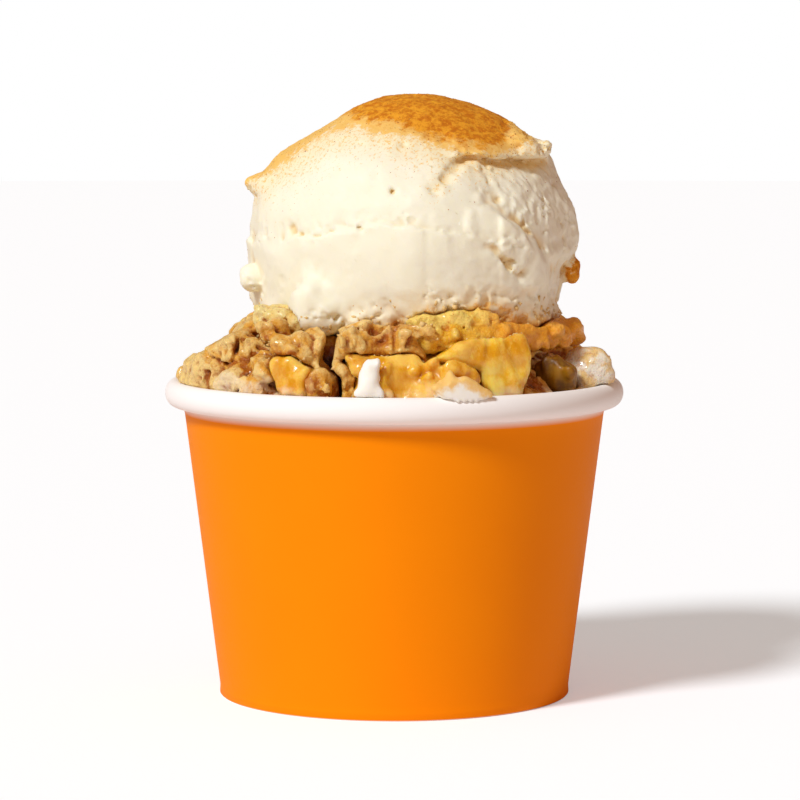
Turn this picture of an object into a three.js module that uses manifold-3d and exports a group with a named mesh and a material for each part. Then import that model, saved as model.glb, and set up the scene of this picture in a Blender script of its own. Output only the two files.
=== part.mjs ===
// Warm apple cobbler heaped in a paper cup, with a scoop of vanilla ice cream on top.
// Millimetres, +Z up. The origin is on the cup's axis, at the height of the surface it stands on.
// The front of the cup faces -Y and +X is to its right.

import * as THREE from 'three';
import { mergeVertices } from 'three/addons/utils/BufferGeometryUtils.js';
import Module from 'manifold-3d';

const wasm = await Module();
wasm.setup();

// Paper cup
const rimDiameter = 96;
const rimTop = 66;
const rollWidth = 4.2;
const rollHeight = 5.3;
const rollOpenAngle = 120;
const footDiameter = 73.4;
const shoulderDiameter = 88.5;
const shoulderZ = 60.6;
const paper = 0.5;
const hemHeight = 6;
const hemPlay = 0.3;
const baseTop = 7;
const cupSegments = 48;
const rollSteps = 6;

// Clear gap kept between pieces that touch
const gap = 0.35;

// Scoop of ice cream
const scoopCentre = new THREE.Vector2(4, 0);
const scoopTop = 125.3;
const scoopBottom = 68;
const scoopRadius = 34.2;
const scoopSegments = 36;
const scoopRings = 19;

// Heap of cobbler
const heapEdgeZ = 65;
const heapTopZ = 76;
const heapSegments = 28;
const clumpSeed = 11;

const colours = {
  cup: 0xff7d00,
  cupBase: 0xf4f0ea,
  iceCream: 0xf3ead0,
  crumble: 0xc98a35,
  apple: 0xe3a62a,
  darkApple: 0x8f6a1c,
  pastry: 0xd98f2b,
  batter: 0xe6c272,
  cream: 0xf8f3e6,
};

const degrees = Math.PI / 180;
const rollCentreR = (rimDiameter - rollWidth) / 2;
const rollCentreZ = rimTop - rollHeight / 2;
const wallSlope = (shoulderDiameter - footDiameter) / 2 / shoulderZ;

// Radius of the cup wall at height z, measured inwards from its outer face by a number of layers
function wallRadius(z, inwards = 0) {
  return footDiameter / 2 + wallSlope * z - inwards;
}

// Closed geometry with shared vertices and without collapsed triangles
function welded(source) {
  const plain = source.clone();
  plain.deleteAttribute('normal');
  plain.deleteAttribute('uv');
  const merged = mergeVertices(plain, 1e-4);
  const index = merged.index.array;
  const kept = [];
  for (let i = 0; i < index.length; i += 3) {
    const [a, b, c] = [index[i], index[i + 1], index[i + 2]];
    if (a !== b && b !== c && c !== a) kept.push(a, b, c);
  }
  merged.setIndex(kept);
  return merged;
}

function toSolid(geometry) {
  const merged = welded(geometry);
  return new wasm.Manifold(new wasm.Mesh({
    numProp: 3,
    vertProperties: new Float32Array(merged.attributes.position.array),
    triVerts: new Uint32Array(merged.index.array),
  }));
}

function toGeometry(solid) {
  const mesh = solid.getMesh();
  const geometry = new THREE.BufferGeometry();
  geometry.setAttribute('position', new THREE.BufferAttribute(mesh.vertProperties, 3));
  geometry.setIndex(new THREE.BufferAttribute(mesh.triVerts, 1));
  return geometry;
}

function joined(solids) {
  return solids.reduce((sum, solid) => sum.add(solid));
}

function without(solid, cutters) {
  return cutters.reduce((rest, cutter) => rest.subtract(cutter), solid);
}

// Smooth random value between -1 and 1 at a point in space
function noise(x, y, z) {
  const cell = [Math.floor(x), Math.floor(y), Math.floor(z)];
  const along = [x - cell[0], y - cell[1], z - cell[2]].map((t) => t * t * (3 - 2 * t));
  let sum = 0;
  for (let corner = 0; corner < 8; corner++) {
    const step = [corner & 1, (corner >> 1) & 1, corner >> 2];
    const wave = Math.sin(
      (cell[0] + step[0]) * 127.1 + (cell[1] + step[1]) * 311.7 + (cell[2] + step[2]) * 74.7,
    ) * 43758.5453;
    const share = step.reduce((product, s, i) => product * (s ? along[i] : 1 - along[i]), 1);
    sum += share * (2 * (wave - Math.floor(wave)) - 1);
  }
  return sum;
}

function seededRandom(seed) {
  let state = seed;
  return () => {
    state = (state * 1664525 + 1013904223) % 4294967296;
    return state / 4294967296;
  };
}

// Moves every vertex by a function that changes the vector it is given
function reshape(geometry, change) {
  const position = geometry.attributes.position;
  const point = new THREE.Vector3();
  for (let i = 0; i < position.count; i++) {
    point.fromBufferAttribute(position, i);
    change(point);
    position.setXYZ(i, point.x, point.y, point.z);
  }
  return geometry;
}

// Turns a geometry about X, then Y, then Z, by angles in degrees, and moves it to its place
function placed(geometry, at, turn = [0, 0, 0]) {
  const [x, y, z] = turn.map((angle) => angle * degrees);
  geometry.applyQuaternion(new THREE.Quaternion().setFromEuler(new THREE.Euler(x, y, z, 'ZYX')));
  return geometry.translate(...at);
}

// Solid turned about the Z axis from an outline of [radius, height] points
function turned(outline, segments) {
  const points = outline.map(([radius, height]) => new THREE.Vector2(radius, height));
  return new THREE.LatheGeometry(points, segments).rotateX(Math.PI / 2);
}

// Uneven rounded lump
function lump({ at, half, turn, rough = 0, size = 6, detail = 1 }, grow = 0) {
  const geometry = new THREE.IcosahedronGeometry(1, detail);
  const reach = new THREE.Vector3(...half);
  const centre = new THREE.Vector3(...at);
  reshape(geometry, (point) => {
    const away = point.clone();
    const { x, y, z } = point.multiply(reach).add(centre).divideScalar(size);
    const swell = grow + rough * noise(x, y, z);
    point.copy(away).multiply(reach.clone().addScalar(swell));
  });
  return toSolid(placed(geometry, at, turn));
}

// Plate with a given outline and rounded edges, standing upright before it leans and turns
function slab({ outline, at, thickness, lean = 0, turn = 0, round = 1.2, thinTop = 1 }, grow = 0) {
  const geometry = new THREE.ExtrudeGeometry(outline, {
    depth: thickness - 2 * round + 2 * grow,
    bevelThickness: round,
    bevelSize: round,
    bevelOffset: grow - round,
    bevelSegments: 2,
    curveSegments: 5,
  });
  geometry.translate(0, 0, -thickness / 2 + round - grow);
  geometry.computeBoundingBox();
  const { min, max } = geometry.boundingBox;
  reshape(geometry, (point) => {
    const share = (point.y - min.y) / (max.y - min.y);
    const limit = thickness / 2;
    const taper = 1 + (thinTop - 1) * share;
    point.z *= (taper * limit + grow) / (limit + grow);
  });
  return toSolid(placed(geometry, at, [90 - lean, 0, turn]));
}

function outlineThrough(points) {
  return new THREE.Shape(points.map(([x, y]) => new THREE.Vector2(x, y)));
}

// Side view of an apple slice: a hollowed core edge below and a rounded back above
function crescent(length, depth) {
  const half = length / 2;
  const outline = new THREE.Shape();
  outline.moveTo(-half, -depth / 2);
  outline.quadraticCurveTo(0, -depth * 0.2, half, -depth / 2);
  outline.quadraticCurveTo(half * 0.95, depth * 0.25, half * 0.35, depth / 2);
  outline.quadraticCurveTo(0, depth * 0.56, -half * 0.35, depth / 2);
  outline.quadraticCurveTo(-half * 0.95, depth * 0.25, -half, -depth / 2);
  return outline;
}

// The wall, its rim rolled outwards and its foot folded inwards and up
function cupWall() {
  const outline = [[wallRadius(0), 0], [wallRadius(shoulderZ), shoulderZ]];
  const inner = [rollWidth / 2 - paper, rollHeight / 2 - paper];
  const outer = [rollWidth / 2, rollHeight / 2];
  const rollPoint = (size, angle) => [
    rollCentreR + size[0] * Math.cos(angle * degrees),
    rollCentreZ + size[1] * Math.sin(angle * degrees),
  ];
  const turnOf = (step) => 180 - step * (180 + rollOpenAngle) / rollSteps;
  for (let step = 0; step <= rollSteps; step++) outline.push(rollPoint(inner, turnOf(step)));
  for (let step = rollSteps; step >= 0; step--) outline.push(rollPoint(outer, turnOf(step)));
  const channel = 2 * hemPlay + 2 * paper;
  outline.push([wallRadius(shoulderZ, paper), shoulderZ]);
  outline.push([wallRadius(paper, paper), paper]);
  outline.push([wallRadius(paper, channel), paper]);
  outline.push([wallRadius(hemHeight, channel), hemHeight]);
  outline.push([wallRadius(hemHeight, channel + paper), hemHeight]);
  outline.push([wallRadius(0, channel + paper), 0]);
  outline.push(outline[0]);
  return welded(turned(outline, cupSegments));
}

// The base: a disc whose edge is folded down between the wall and its hem
function cupBase() {
  const outside = paper + hemPlay;
  const inside = outside + paper;
  const flangeFoot = paper + hemPlay;
  const baseUnder = baseTop - paper;
  const outline = [
    [0, baseUnder],
    [wallRadius(baseUnder, inside), baseUnder],
    [wallRadius(flangeFoot, inside), flangeFoot],
    [wallRadius(flangeFoot, outside), flangeFoot],
    [wallRadius(baseTop, outside), baseTop],
    [0, baseTop],
  ];
  return welded(turned(outline, cupSegments));
}

// Space taken by the top of the wall and the rolled rim, with the clear gap round them
const keepOutFoot = 45;

function cupKeepOut() {
  const outline = [];
  const steps = 9;
  const clear = gap + 0.15;
  for (let step = 0; step <= steps; step++) {
    const angle = (180 - step * 270 / steps) * degrees;
    outline.push([
      rollCentreR + (rollWidth / 2 + clear) * Math.cos(angle),
      rollCentreZ + (rollHeight / 2 + clear) * Math.sin(angle),
    ]);
  }
  outline.push([wallRadius(keepOutFoot, -clear), keepOutFoot]);
  outline.push([wallRadius(keepOutFoot, paper + clear), keepOutFoot]);
  outline.push([wallRadius(shoulderZ, paper + clear), shoulderZ]);
  outline.push(outline[0]);
  return toSolid(turned(outline.reverse(), heapSegments));
}

// Outline of the scoop as shares of its radius against its height
const scoopOutline = [
  [0, 1], [0.3, 0.985], [0.56, 0.915], [0.8, 0.79], [0.94, 0.66], [1, 0.53], [1.005, 0.4],
  [0.965, 0.27], [0.925, 0.19], [0.83, 0.135], [0.62, 0.06], [0.3, 0.01], [0, 0],
];

// Swells of the scoop's surface: where they are seen from its middle, how wide and how high
const scoopSwells = [
  { towards: [-0.62, 0, 0.72], wide: 0.36, high: -2.2 },
  { towards: [0.1, -0.98, -0.12], wide: 0.42, high: 0.9 },
  { towards: [0.62, -0.74, 0.06], wide: 0.24, high: 1.3 },
  { towards: [0.5, -0.62, 0.52], wide: 0.28, high: -0.7 },
  { towards: [-0.6, 0.7, -0.1], wide: 0.4, high: 1 },
  { towards: [0.5, 0.8, 0.25], wide: 0.3, high: 1.2 },
].map(({ towards, ...swell }) => ({ ...swell, towards: new THREE.Vector3(...towards).normalize() }));

// The lip that the scoop's edge left: a ridge on a slanting ring, smoothed away in front
const collarZ = 110.4;
const collarSlope = 0.11;
const collarHigh = 1.8;
const collarWide = 2.4;

function scoopRelief(point, away) {
  const slow = 0.6 * noise(point.x / 14 + 7, point.y / 14, point.z / 14);
  const swells = scoopSwells.reduce((sum, { towards, wide, high }) => {
    const apart = away.distanceTo(towards) / wide;
    return sum + high * Math.exp(-apart * apart);
  }, 0);
  const offCollar = (point.z - collarZ - collarSlope * point.x) / collarWide;
  const behind = THREE.MathUtils.smoothstep(away.y, -0.5, 0.1);
  const torn = 0.7 + 0.5 * noise(point.x / 6, point.y / 6, 3);
  const collar = collarHigh * behind * torn * Math.exp(-offCollar * offCollar);
  return slow + swells + collar;
}

function scoopBody(grow = 0, segments = scoopSegments, rings = scoopRings) {
  const height = scoopTop - scoopBottom;
  const points = scoopOutline.map(([r, z]) => new THREE.Vector2(r * scoopRadius, z * height));
  const curve = new THREE.SplineCurve(points);
  const outline = curve.getPoints(rings).map((p) => [p.x, p.y + scoopBottom]);
  outline[0][0] = 0;
  outline[rings][0] = 0;
  const geometry = turned(outline.reverse(), segments);
  const middle = new THREE.Vector3(0, 0, (scoopTop + scoopBottom) / 2);
  reshape(geometry, (point) => {
    const away = point.clone().sub(middle).normalize();
    point.addScaledVector(away, grow + scoopRelief(point, away));
  });
  return toSolid(geometry.translate(scoopCentre.x, scoopCentre.y, 0));
}

// Torn lips and bits that stand out from the scoop
const scoopLumps = [
  { at: [-29, -6, 107], half: [2.6, 2.6, 1.9], turn: [0, -12, 0] },
  { at: [-25, -8, 107.8], half: [5, 4, 2], turn: [0, -28, 10] },
  { at: [26.6, -6, 115.3], half: [6, 11, 1.6], turn: [0, 33, 0] },
  { at: [-31, -3, 83.6], half: [2.9, 3.6, 3.9], rough: 0.5 },
  { at: [36.2, -4, 85.4], half: [2.4, 2.4, 2.4], rough: 0.3 },
];

// Torn skirt round the foot of the scoop
const skirtSeed = 5;
const skirtCount = 9;
const skirtZ = 80.5;

function scoopSkirt(grow) {
  const random = seededRandom(skirtSeed);
  const solids = [];
  for (let i = 0; i < skirtCount; i++) {
    const angle = (i + (random() - 0.5) * 0.4) * 360 / skirtCount;
    const reach = scoopRadius - 3.4;
    const at = [
      scoopCentre.x + reach * Math.cos(angle * degrees),
      scoopCentre.y + reach * Math.sin(angle * degrees),
      skirtZ + random() * 2,
    ];
    const half = [3.6, 7 + random() * 3, 3.6 + random()];
    solids.push(lump({ at, half, turn: [0, 0, angle], rough: 1.1, size: 5 }, grow));
  }
  return solids;
}

function iceCreamScoop(grow = 0) {
  const lumps = scoopLumps.map((piece) => lump({ size: 2, ...piece }, grow));
  return joined([scoopBody(grow), ...lumps, ...scoopSkirt(grow)]);
}

// Hollow that the scoop presses into the heap, cut with fewer faces and a ring for its skirt
function scoopBed() {
  const skirtReach = scoopRadius + 2;
  const ring = [
    [scoopRadius - 8, skirtZ - 4],
    [skirtReach, skirtZ - 3],
    [skirtReach - 1, skirtZ + 8],
    [scoopRadius - 8, skirtZ + 8],
  ];
  ring.push(ring[0]);
  const skirt = turned(ring, 18).translate(scoopCentre.x, scoopCentre.y, 0);
  return joined([scoopBody(gap + 0.9, 16, 10), toSolid(skirt)]);
}

// Pieces of cooked apple that lie on the heap
const appleSlabs = {
  apple_wedge_front: {
    outline: outlineThrough([
      [-11.5, 1.6], [-2, 5.6], [10.5, 6.6], [11.8, -1.6], [8.8, -7.2], [2.4, -6.6], [0.6, -0.4], [-5, 1],
    ]),
    at: [15.4, -32.4, 70.7], thickness: 10, lean: 8, turn: 20, round: 1.3,
  },
  apple_slice_front: {
    outline: outlineThrough([
      [-13.4, 4.6], [2, 4.4], [13, 2], [12, -5], [3.8, -5.6], [-5, -5.4], [-12, -4], [-9.4, 0],
    ]),
    at: [3.4, -38.6, 69], thickness: 7.5, lean: 14, turn: 3, round: 1.2, thinTop: 0.7,
  },
  apple_piece_left: {
    outline: outlineThrough([[-4.6, 3], [0.6, 4.2], [4.8, 1.6], [3.8, -4.2], [-2.4, -4.2]]),
    at: [-20, -36.2, 69.2], thickness: 7.5, lean: 8, turn: -26, round: 1.2,
  },
  apple_slice_right: {
    outline: outlineThrough([[-3.6, 2.6], [0.8, 4.4], [4.4, 1], [3.6, -4.6], [-3, -4.6]]),
    at: [33, -22, 69], thickness: 9, lean: 6, turn: 36, round: 1.2,
  },
  apple_slice_back_left: {
    outline: crescent(25, 12), at: [-25.5, 25.5, 71.6], thickness: 8, lean: 46, turn: 228, thinTop: 1.4,
  },
  apple_slice_back: {
    outline: crescent(27, 12), at: [1, 36, 70.6], thickness: 8, lean: 66, turn: 172, thinTop: 1.4,
  },
  apple_slice_back_right: {
    outline: crescent(24, 12), at: [29, 25.5, 71.6], thickness: 9, lean: 28, turn: 140, thinTop: 1.3,
  },
  apple_piece_side: {
    outline: crescent(15, 9), at: [38.4, 7, 67.4], thickness: 7, lean: 52, turn: 98, thinTop: 1.2,
  },
};

// Strip of glazed pastry that bends round the right front of the scoop
const stripRadius = 3.3;
const stripPath = [[6.5, -32.5, 76.6], [15, -31.5, 77.2], [25, -25.5, 77], [34.6, -12, 76.7]];

function pastryStrip(grow = 0) {
  const curve = new THREE.CatmullRomCurve3(stripPath.map((at) => new THREE.Vector3(...at)));
  const length = curve.getLength();
  const geometry = new THREE.CapsuleGeometry(1, length, 2, 8, 8);
  const up = new THREE.Vector3(0, 0, 1);
  reshape(geometry, (point) => {
    const share = THREE.MathUtils.clamp(point.y / length + 0.5, 0, 1);
    const past = point.y - (share - 0.5) * length;
    const forward = curve.getTangentAt(share);
    const side = new THREE.Vector3().crossVectors(forward, up).normalize();
    const radius = stripRadius * (1 + 0.16 * noise(share * 6, point.x, point.z)) + grow;
    const centre = curve.getPointAt(share);
    const { x, z } = point;
    point.copy(centre).addScaledVector(forward, past * radius);
    point.addScaledVector(side, x * radius).addScaledVector(up, z * radius);
  });
  return toSolid(geometry);
}

// Rounded pieces that lie on the heap or on the rim
const roundPieces = {
  pastry_chunk_left: {
    colour: 'batter',
    at: [-22.8, -24, 78.6], half: [5.6, 4.8, 5.4], rough: 1.2, size: 4, turn: [0, 10, 20],
  },
  apple_chunk_right: {
    colour: 'cream',
    at: [40, -13, 68.8], half: [6, 6.5, 5], rough: 1, size: 5, turn: [0, 12, 20],
  },
  ice_cream_drip: {
    colour: 'cream',
    at: [-4.6, -44.4, 68.4], half: [2.7, 1.7, 3.7], rough: 0.5, size: 3, turn: [-14, 0, 0],
  },
  ice_cream_mound: {
    colour: 'cream',
    at: [13.2, -44, 67.2], half: [5, 3, 2.6], rough: 0.5, size: 3, turn: [0, 0, 14],
  },
};

// Clumps of crumble that show on the left and in front
const shownClumps = [
  { at: [-40.8, -12.5, 66.6], half: [4.6, 6, 3.4] },
  { at: [-35.4, -17, 70], half: [5.6, 5.6, 4.4] },
  { at: [-36.4, -4, 69.8], half: [5.2, 7, 4.2] },
  { at: [-28.6, -22.5, 71.8], half: [6.2, 5.4, 4.6] },
  { at: [-31, -30, 67], half: [6.4, 4.6, 3.4] },
  { at: [-29, -11, 76], half: [4.8, 6, 4.6] },
  { at: [-21, -29.6, 73], half: [6.2, 5, 4] },
  { at: [-14.6, -34.4, 71.8], half: [3.4, 4, 5] },
  { at: [-14.8, -40.4, 68], half: [2.7, 2.6, 2.9] },
  { at: [-14, -28.6, 76], half: [5, 5, 3.6] },
  { at: [-6.6, -31, 76], half: [4.8, 5, 4] },
  { at: [0, -31.4, 76.8], half: [4.8, 4.8, 3.8] },
  { at: [5.4, -32, 74.4], half: [4.4, 4.4, 3.4] },
  { at: [-8.4, -36.6, 72], half: [3.4, 4, 4.6] },
];

// Clumps spread over the sides and the back in two rings
const clumpRings = [
  { reach: 39.2, z: 66.2, from: 4, to: 184, step: 22 },
  { reach: 33.2, z: 71.4, from: 8, to: 184, step: 29 },
];

function hiddenClumps() {
  const random = seededRandom(clumpSeed);
  const clumps = [];
  for (const { reach, z, from, to, step } of clumpRings) {
    for (let angle = from; angle <= to; angle += step) {
      const turn = (angle + (random() - 0.5) * 8) * degrees;
      const size = 5 + random() * 2.4;
      const out = reach + (random() - 0.5) * 2;
      clumps.push({
        at: [out * Math.cos(turn), out * Math.sin(turn), z + (random() - 0.5) * 2],
        half: [size, size * (0.8 + random() * 0.4), size * (0.65 + random() * 0.25)],
      });
    }
  }
  return clumps;
}

// Filling up to the heap, before the pieces that lie on it are cut out
function cobblerHeap() {
  const wallGap = paper + gap + 0.3;
  const outline = [
    [0, baseTop + gap],
    [wallRadius(baseTop, wallGap), baseTop + gap],
    [wallRadius(shoulderZ, wallGap), shoulderZ],
    [rollCentreR - rollWidth / 2 - gap - 0.3, rollCentreZ],
    [42.4, heapEdgeZ],
    [38.5, 68],
    [33, 71.6],
    [25, 74.6],
    [0, heapTopZ],
  ];
  const core = toSolid(turned(outline, heapSegments));
  const clumps = [...shownClumps, ...hiddenClumps()];
  const lumps = clumps.map((clump) => lump({ rough: 1.5, size: 3.4, ...clump }));
  return joined([core, ...lumps]);
}

// Largest connected body of a geometry, without the crumbs that the cuts left loose
function largestBody(geometry) {
  const index = geometry.index.array;
  const root = Array.from({ length: geometry.attributes.position.count }, (_, i) => i);
  const rootOf = (i) => {
    while (root[i] !== i) i = root[i];
    return i;
  };
  for (let i = 0; i < index.length; i += 3) {
    const first = rootOf(index[i]);
    root[rootOf(index[i + 1])] = first;
    root[rootOf(index[i + 2])] = first;
  }
  const bodies = new Map();
  for (let i = 0; i < index.length; i += 3) {
    const key = rootOf(index[i]);
    if (!bodies.has(key)) bodies.set(key, []);
    bodies.get(key).push(index[i], index[i + 1], index[i + 2]);
  }
  const sizes = [...bodies.values()].sort((a, b) => b.length - a.length);
  geometry.setIndex(sizes[0]);
  return geometry;
}

function pieceMesh(name, geometry, colour, roughness) {
  const material = new THREE.MeshStandardMaterial({ color: colours[colour], roughness, metalness: 0 });
  const mesh = new THREE.Mesh(geometry, material);
  mesh.name = name;
  return mesh;
}

const cobbler = new THREE.Group();
cobbler.add(pieceMesh('cup_wall', cupWall(), 'cup', 0.5));
cobbler.add(pieceMesh('cup_base', cupBase(), 'cupBase', 0.6));
cobbler.add(pieceMesh('ice_cream_scoop', toGeometry(iceCreamScoop()), 'iceCream', 0.55));

// Each piece is cut clear of the cup, the scoop and the pieces made before it
const keepOut = cupKeepOut();
const cutters = [keepOut, iceCreamScoop(gap)];
const bedCutters = [keepOut, scoopBed()];

function addPiece(name, make, colour, roughness) {
  const geometry = largestBody(toGeometry(without(make(0), cutters)));
  cobbler.add(pieceMesh(name, geometry, colour, roughness));
  const grown = make(gap);
  cutters.push(grown);
  bedCutters.push(grown);
}

addPiece('pastry_strip', pastryStrip, 'pastry', 0.3);
for (const [name, shape] of Object.entries(appleSlabs)) {
  const colour = name === 'apple_slice_right' ? 'darkApple' : 'apple';
  addPiece(name, (grow) => slab(shape, grow), colour, 0.25);
}
for (const [name, shape] of Object.entries(roundPieces)) {
  addPiece(name, (grow) => lump(shape, grow), shape.colour, 0.5);
}

const heap = largestBody(toGeometry(without(cobblerHeap(), bedCutters)));
cobbler.add(pieceMesh('cobbler_bed', heap, 'crumble', 0.6));

export default cobbler;
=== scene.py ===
import math

import bpy
import numpy as np
import openvdb
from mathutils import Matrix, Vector


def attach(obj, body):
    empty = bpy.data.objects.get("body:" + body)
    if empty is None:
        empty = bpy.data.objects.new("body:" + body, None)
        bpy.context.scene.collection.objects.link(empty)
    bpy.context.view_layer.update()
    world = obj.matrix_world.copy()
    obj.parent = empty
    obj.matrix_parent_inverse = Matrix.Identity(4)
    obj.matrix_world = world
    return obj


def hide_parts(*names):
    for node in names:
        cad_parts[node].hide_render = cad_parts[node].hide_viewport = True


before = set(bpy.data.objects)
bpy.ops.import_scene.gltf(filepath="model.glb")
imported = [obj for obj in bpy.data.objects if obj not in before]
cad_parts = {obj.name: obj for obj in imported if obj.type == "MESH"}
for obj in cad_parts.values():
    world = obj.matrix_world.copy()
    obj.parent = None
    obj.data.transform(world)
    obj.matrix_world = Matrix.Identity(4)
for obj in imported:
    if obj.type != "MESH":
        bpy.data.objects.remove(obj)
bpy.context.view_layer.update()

# Sizes in this script are millimetres, and mesh coordinates are turned into metres at the end
MM = 0.001
FINE = 1.0

# Camera, fitted to the rim, shoulder and foot of the cup in the photograph
IMAGE_PIXELS = 800
SENSOR = 36
FOCAL_PIXELS = 3443
CAMERA_AT = (1.2, -718, 126.65)
CAMERA_PITCH = math.radians(5.19)
# Farthest distance that the camera sees, in metres
CAMERA_SIGHT = 20

# Light and floor
KEY_FROM = (-0.64, -0.74, 0.88)
KEY_STRENGTH = 2.6
KEY_SOFTNESS = math.radians(12)
KEY_COLOUR = (0.92, 1.0, 1.05)
FILL_COLOUR = (0.34, 0.20, 0.14, 1)
FLOOR_RADIUS = 4000
FLOOR_SEGMENTS = 96
FLOOR_COLOUR = (0.95, 0.93, 0.93, 1)
FLOOR_GLOW = (0.21, 0.30, 0.33, 1)

# Cup
CUP_SEGMENTS = 288
RIM_RADIUS = 47.87
RIM_TOP = 66.0
ROLL_WIDTH = 4.2
ROLL_HEIGHT = 5.3
FOOT_RADIUS = 36.7
SHOULDER_RADIUS = 44.25
SHOULDER_Z = 60.6
PAPER = 0.5
CUT_EDGE = 0.25
HEM_HEIGHT = 6.0
HEM_PLAY = 0.3
BASE_TOP = 7.0
BASE_BEND = 0.6
SEAM_ANGLE = math.radians(74)
SEAM_WIDTH = math.radians(9)
SEAM_STEP = 0.28
# Angles over which the overlap steps up and runs out again
SEAM_EDGE = 0.004
SEAM_TAPER = 0.02
# Radius of the tiny hole in the middle of a turned disc
PINHOLE = 0.01

# Distance fields: how far they reach, and the bands round a surface that are worked on
REACH = 4.0
WIDE_BAND = 0.98 * REACH
WHOLE_FIELD = 1.01 * REACH
SCOOP_BAND = 3.4
RELIEF_BAND = 2.6
TEAR_BAND = 1.4
# Softness of cuts in general, of flat sides, and along the seams with other pieces
CARVE_SOFTNESS = 0.9
FACET_SOFTNESS = 0.7
SEAM_SOFTNESS = 0.3
BED_SEAM_SOFTNESS = 0.4
# Radius over which the surface is averaged to find its hollows, which the materials paint with shade
HOLLOW_RADIUS = 1.2
SCOOP_HOLLOW_RADIUS = 2.0

# Pieces of the cobbler
PIECE_VOXEL = 0.4 / FINE
PIECE_GAP = 0.3
PIECE_REACH = 47.8
LUMP_REACH = 44.5
LUMP_SEED = 9000
LUMP_POWER = 2.3
EXTRA_ROUGH = 0.25
# Lowest upward part of the normal where a lump is put on a piece, and how rough such lumps are
PIECE_FACING = -0.6
PIECE_ROUGH = 0.15
UPRIGHT = ((1, 0, 0), (0, 1, 0), (0, 0, 1))
CHUNK_TIP_TURN = ((0.9, 0, -0.44), (0, 1, 0), (0.44, 0, 0.9))
# Lumps fused onto a piece, as its blend and turn and a list of [centre, half sizes, tint]
EXTRA_LUMPS = {
    "glazed_strip": (1.0, UPRIGHT, [
        ((6.6, -33.3, 79.2), (2.8, 1.5, 1.9), 1.2),
        ((11.0, -32.8, 80.2), (3.0, 1.5, 1.8), 0.9),
        ((16.0, -31.4, 80.4), (3.2, 1.5, 1.6), 0.5),
    ]),
    "creamed_chunk": (0.8, CHUNK_TIP_TURN, [((43.6, -11.0, 71.0), (2.6, 1.1, 1.0), 0.8)]),
    "cream_drip": (0.6, UPRIGHT, [
        ((-6.6, -45.0, 66.9), (1.9, 1.1, 1.2), 0),
        ((-3.2, -45.0, 67.0), (1.6, 1.1, 1.3), 0),
        ((-3.6, -43.6, 71.6), (1.3, 1.0, 1.7), 0),
    ]),
    "cream_mound": (1.6, UPRIGHT, [
        ((10.4, -45.0, 66.8), (2.4, 2.0, 1.4), 0),
        ((13.6, -45.0, 67.4), (3.2, 2.2, 2.0), 0),
        ((17.0, -44.2, 66.8), (2.6, 1.8, 1.2), 0),
    ]),
}
# Flat sides cut onto round pieces as [direction, distance from the middle of the solid]
FACETS = {
    "dark_slice": [
        ((-0.45, -0.85, 0.25), 3.6), ((0.5, -0.3, 0.8), 3.3), ((0.3, -0.88, -0.35), 3.8),
        ((0.9, -0.35, 0.1), 3.7), ((-0.3, 0.3, 0.9), 3.6),
    ],
    "left_batter": [((0.05, -0.15, 0.98), 3.7), ((-0.2, -0.97, 0.1), 4.2), ((-0.93, -0.3, 0.15), 4.5)],
    "creamed_chunk": [
        ((-0.3, -0.7, 0.64), 4.2), ((0.4, -0.9, 0.0), 4.6), ((0.9, 0.2, 0.4), 4.2), ((0.0, 0.6, 0.8), 4.1),
        ((0.6, 0.8, 0.1), 4.6),
    ],
}
# Point from which the ribs of the front wedge fan out, as [x, z]
FAN_TOP = (19.0, 84.0)
# Middle of the mound of melted cream, which stands highest there, and height where fruit begins to show
MOUND_X = 13.0
MOUND_GOLD = 68.6

# Crumble
BED_VOXEL = 0.485 / FINE
BED_CUT = 60.0
BED_SEED = 40
BED_REACH = 46.6
BED_MERGING = 0.01
BED_ROUNDING = 0.5
# Coarse and fine lumps scattered over the crumble as [number, sizes, blend]
BED_LUMPS = [(150, (1.8, 4.0), 1.1), (420, (0.7, 1.7), 0.6)]
BED_LOW = 61.0
CREAM_FILM = 0.3
# Dark gaps in the front of the crumble as [x, z] paths with their half width
CREVICES = [
    ([(-12.4, 77.6), (-13.2, 72.4)], 1.3),
    ([(-13.0, 72.4), (-10.9, 69.0), (-10.9, 64.5)], 0.7),
    ([(-26.6, 75.0), (-23.0, 73.1), (-20.0, 70.5)], 0.6),
]
# Outline of the heap at its left end as [x, z]
LEFT_SLOPE = [
    (-48, 65.5), (-45.8, 67.5), (-43.5, 70.6), (-41, 72.4), (-38, 74), (-34, 76), (-29, 80), (-26, 90),
]
# Larger lumps of the crumble as [centre, half sizes, tint]
LUMPS = [
    ((-38, -15, 69), (5.6, 5.5, 4.0), 0.9),
    ((-32, -22, 74.6), (4.8, 4.0, 3.0), 0.2),
    ((-19.6, -34.5, 74.8), (4.4, 3.2, 2.6), 0.7),
    ((-6, -36, 75), (4.8, 3.4, 3.0), -0.4),
    ((1.5, -34, 76.5), (3.6, 3.0, 2.4), -0.9),
    ((-15, -40.2, 67.4), (2.1, 1.6, 2.2), -0.9),
]
# Spots of the crumble painted darker as if sunk, as [centre, radius, depth]: painted shade in the gap right
# of the front wedge and in a fissure, and darker syrup colour left of the batter
SHADE_AND_SYRUP_SPOTS = [((27, -28, 71.5), 4.5, 0.8), ((-29.5, -28, 79.6), 2.6, 0.5), ((-24, -36, 72.6), 2.0, 0.3)]
# Directions round the cup, in degrees from the front towards the right, where cream has melted down
CREAM_RUNS = [(44, 62), (-62, -28), (100, 118), (160, 176), (-150, -128)]
# Crumble heaped against the foot of the scoop: its top and its width
BANK_TOP = 79.4
BANK_WIDE = 2.2
# Share of the points of a mesh that carry a loose crumb: anywhere, along seams, and on the scoop's foot
CRUMB_SHARE = 0.012
SEAM_CRUMB_SHARE = 0.16
FOOT_CRUMB_SHARE = 0.06
FOOT_LOW = 76.0
CRUMB_SIZES = (0.35, 0.85)
CRUMB_SIDES = (0.5, 1.3)

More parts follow.
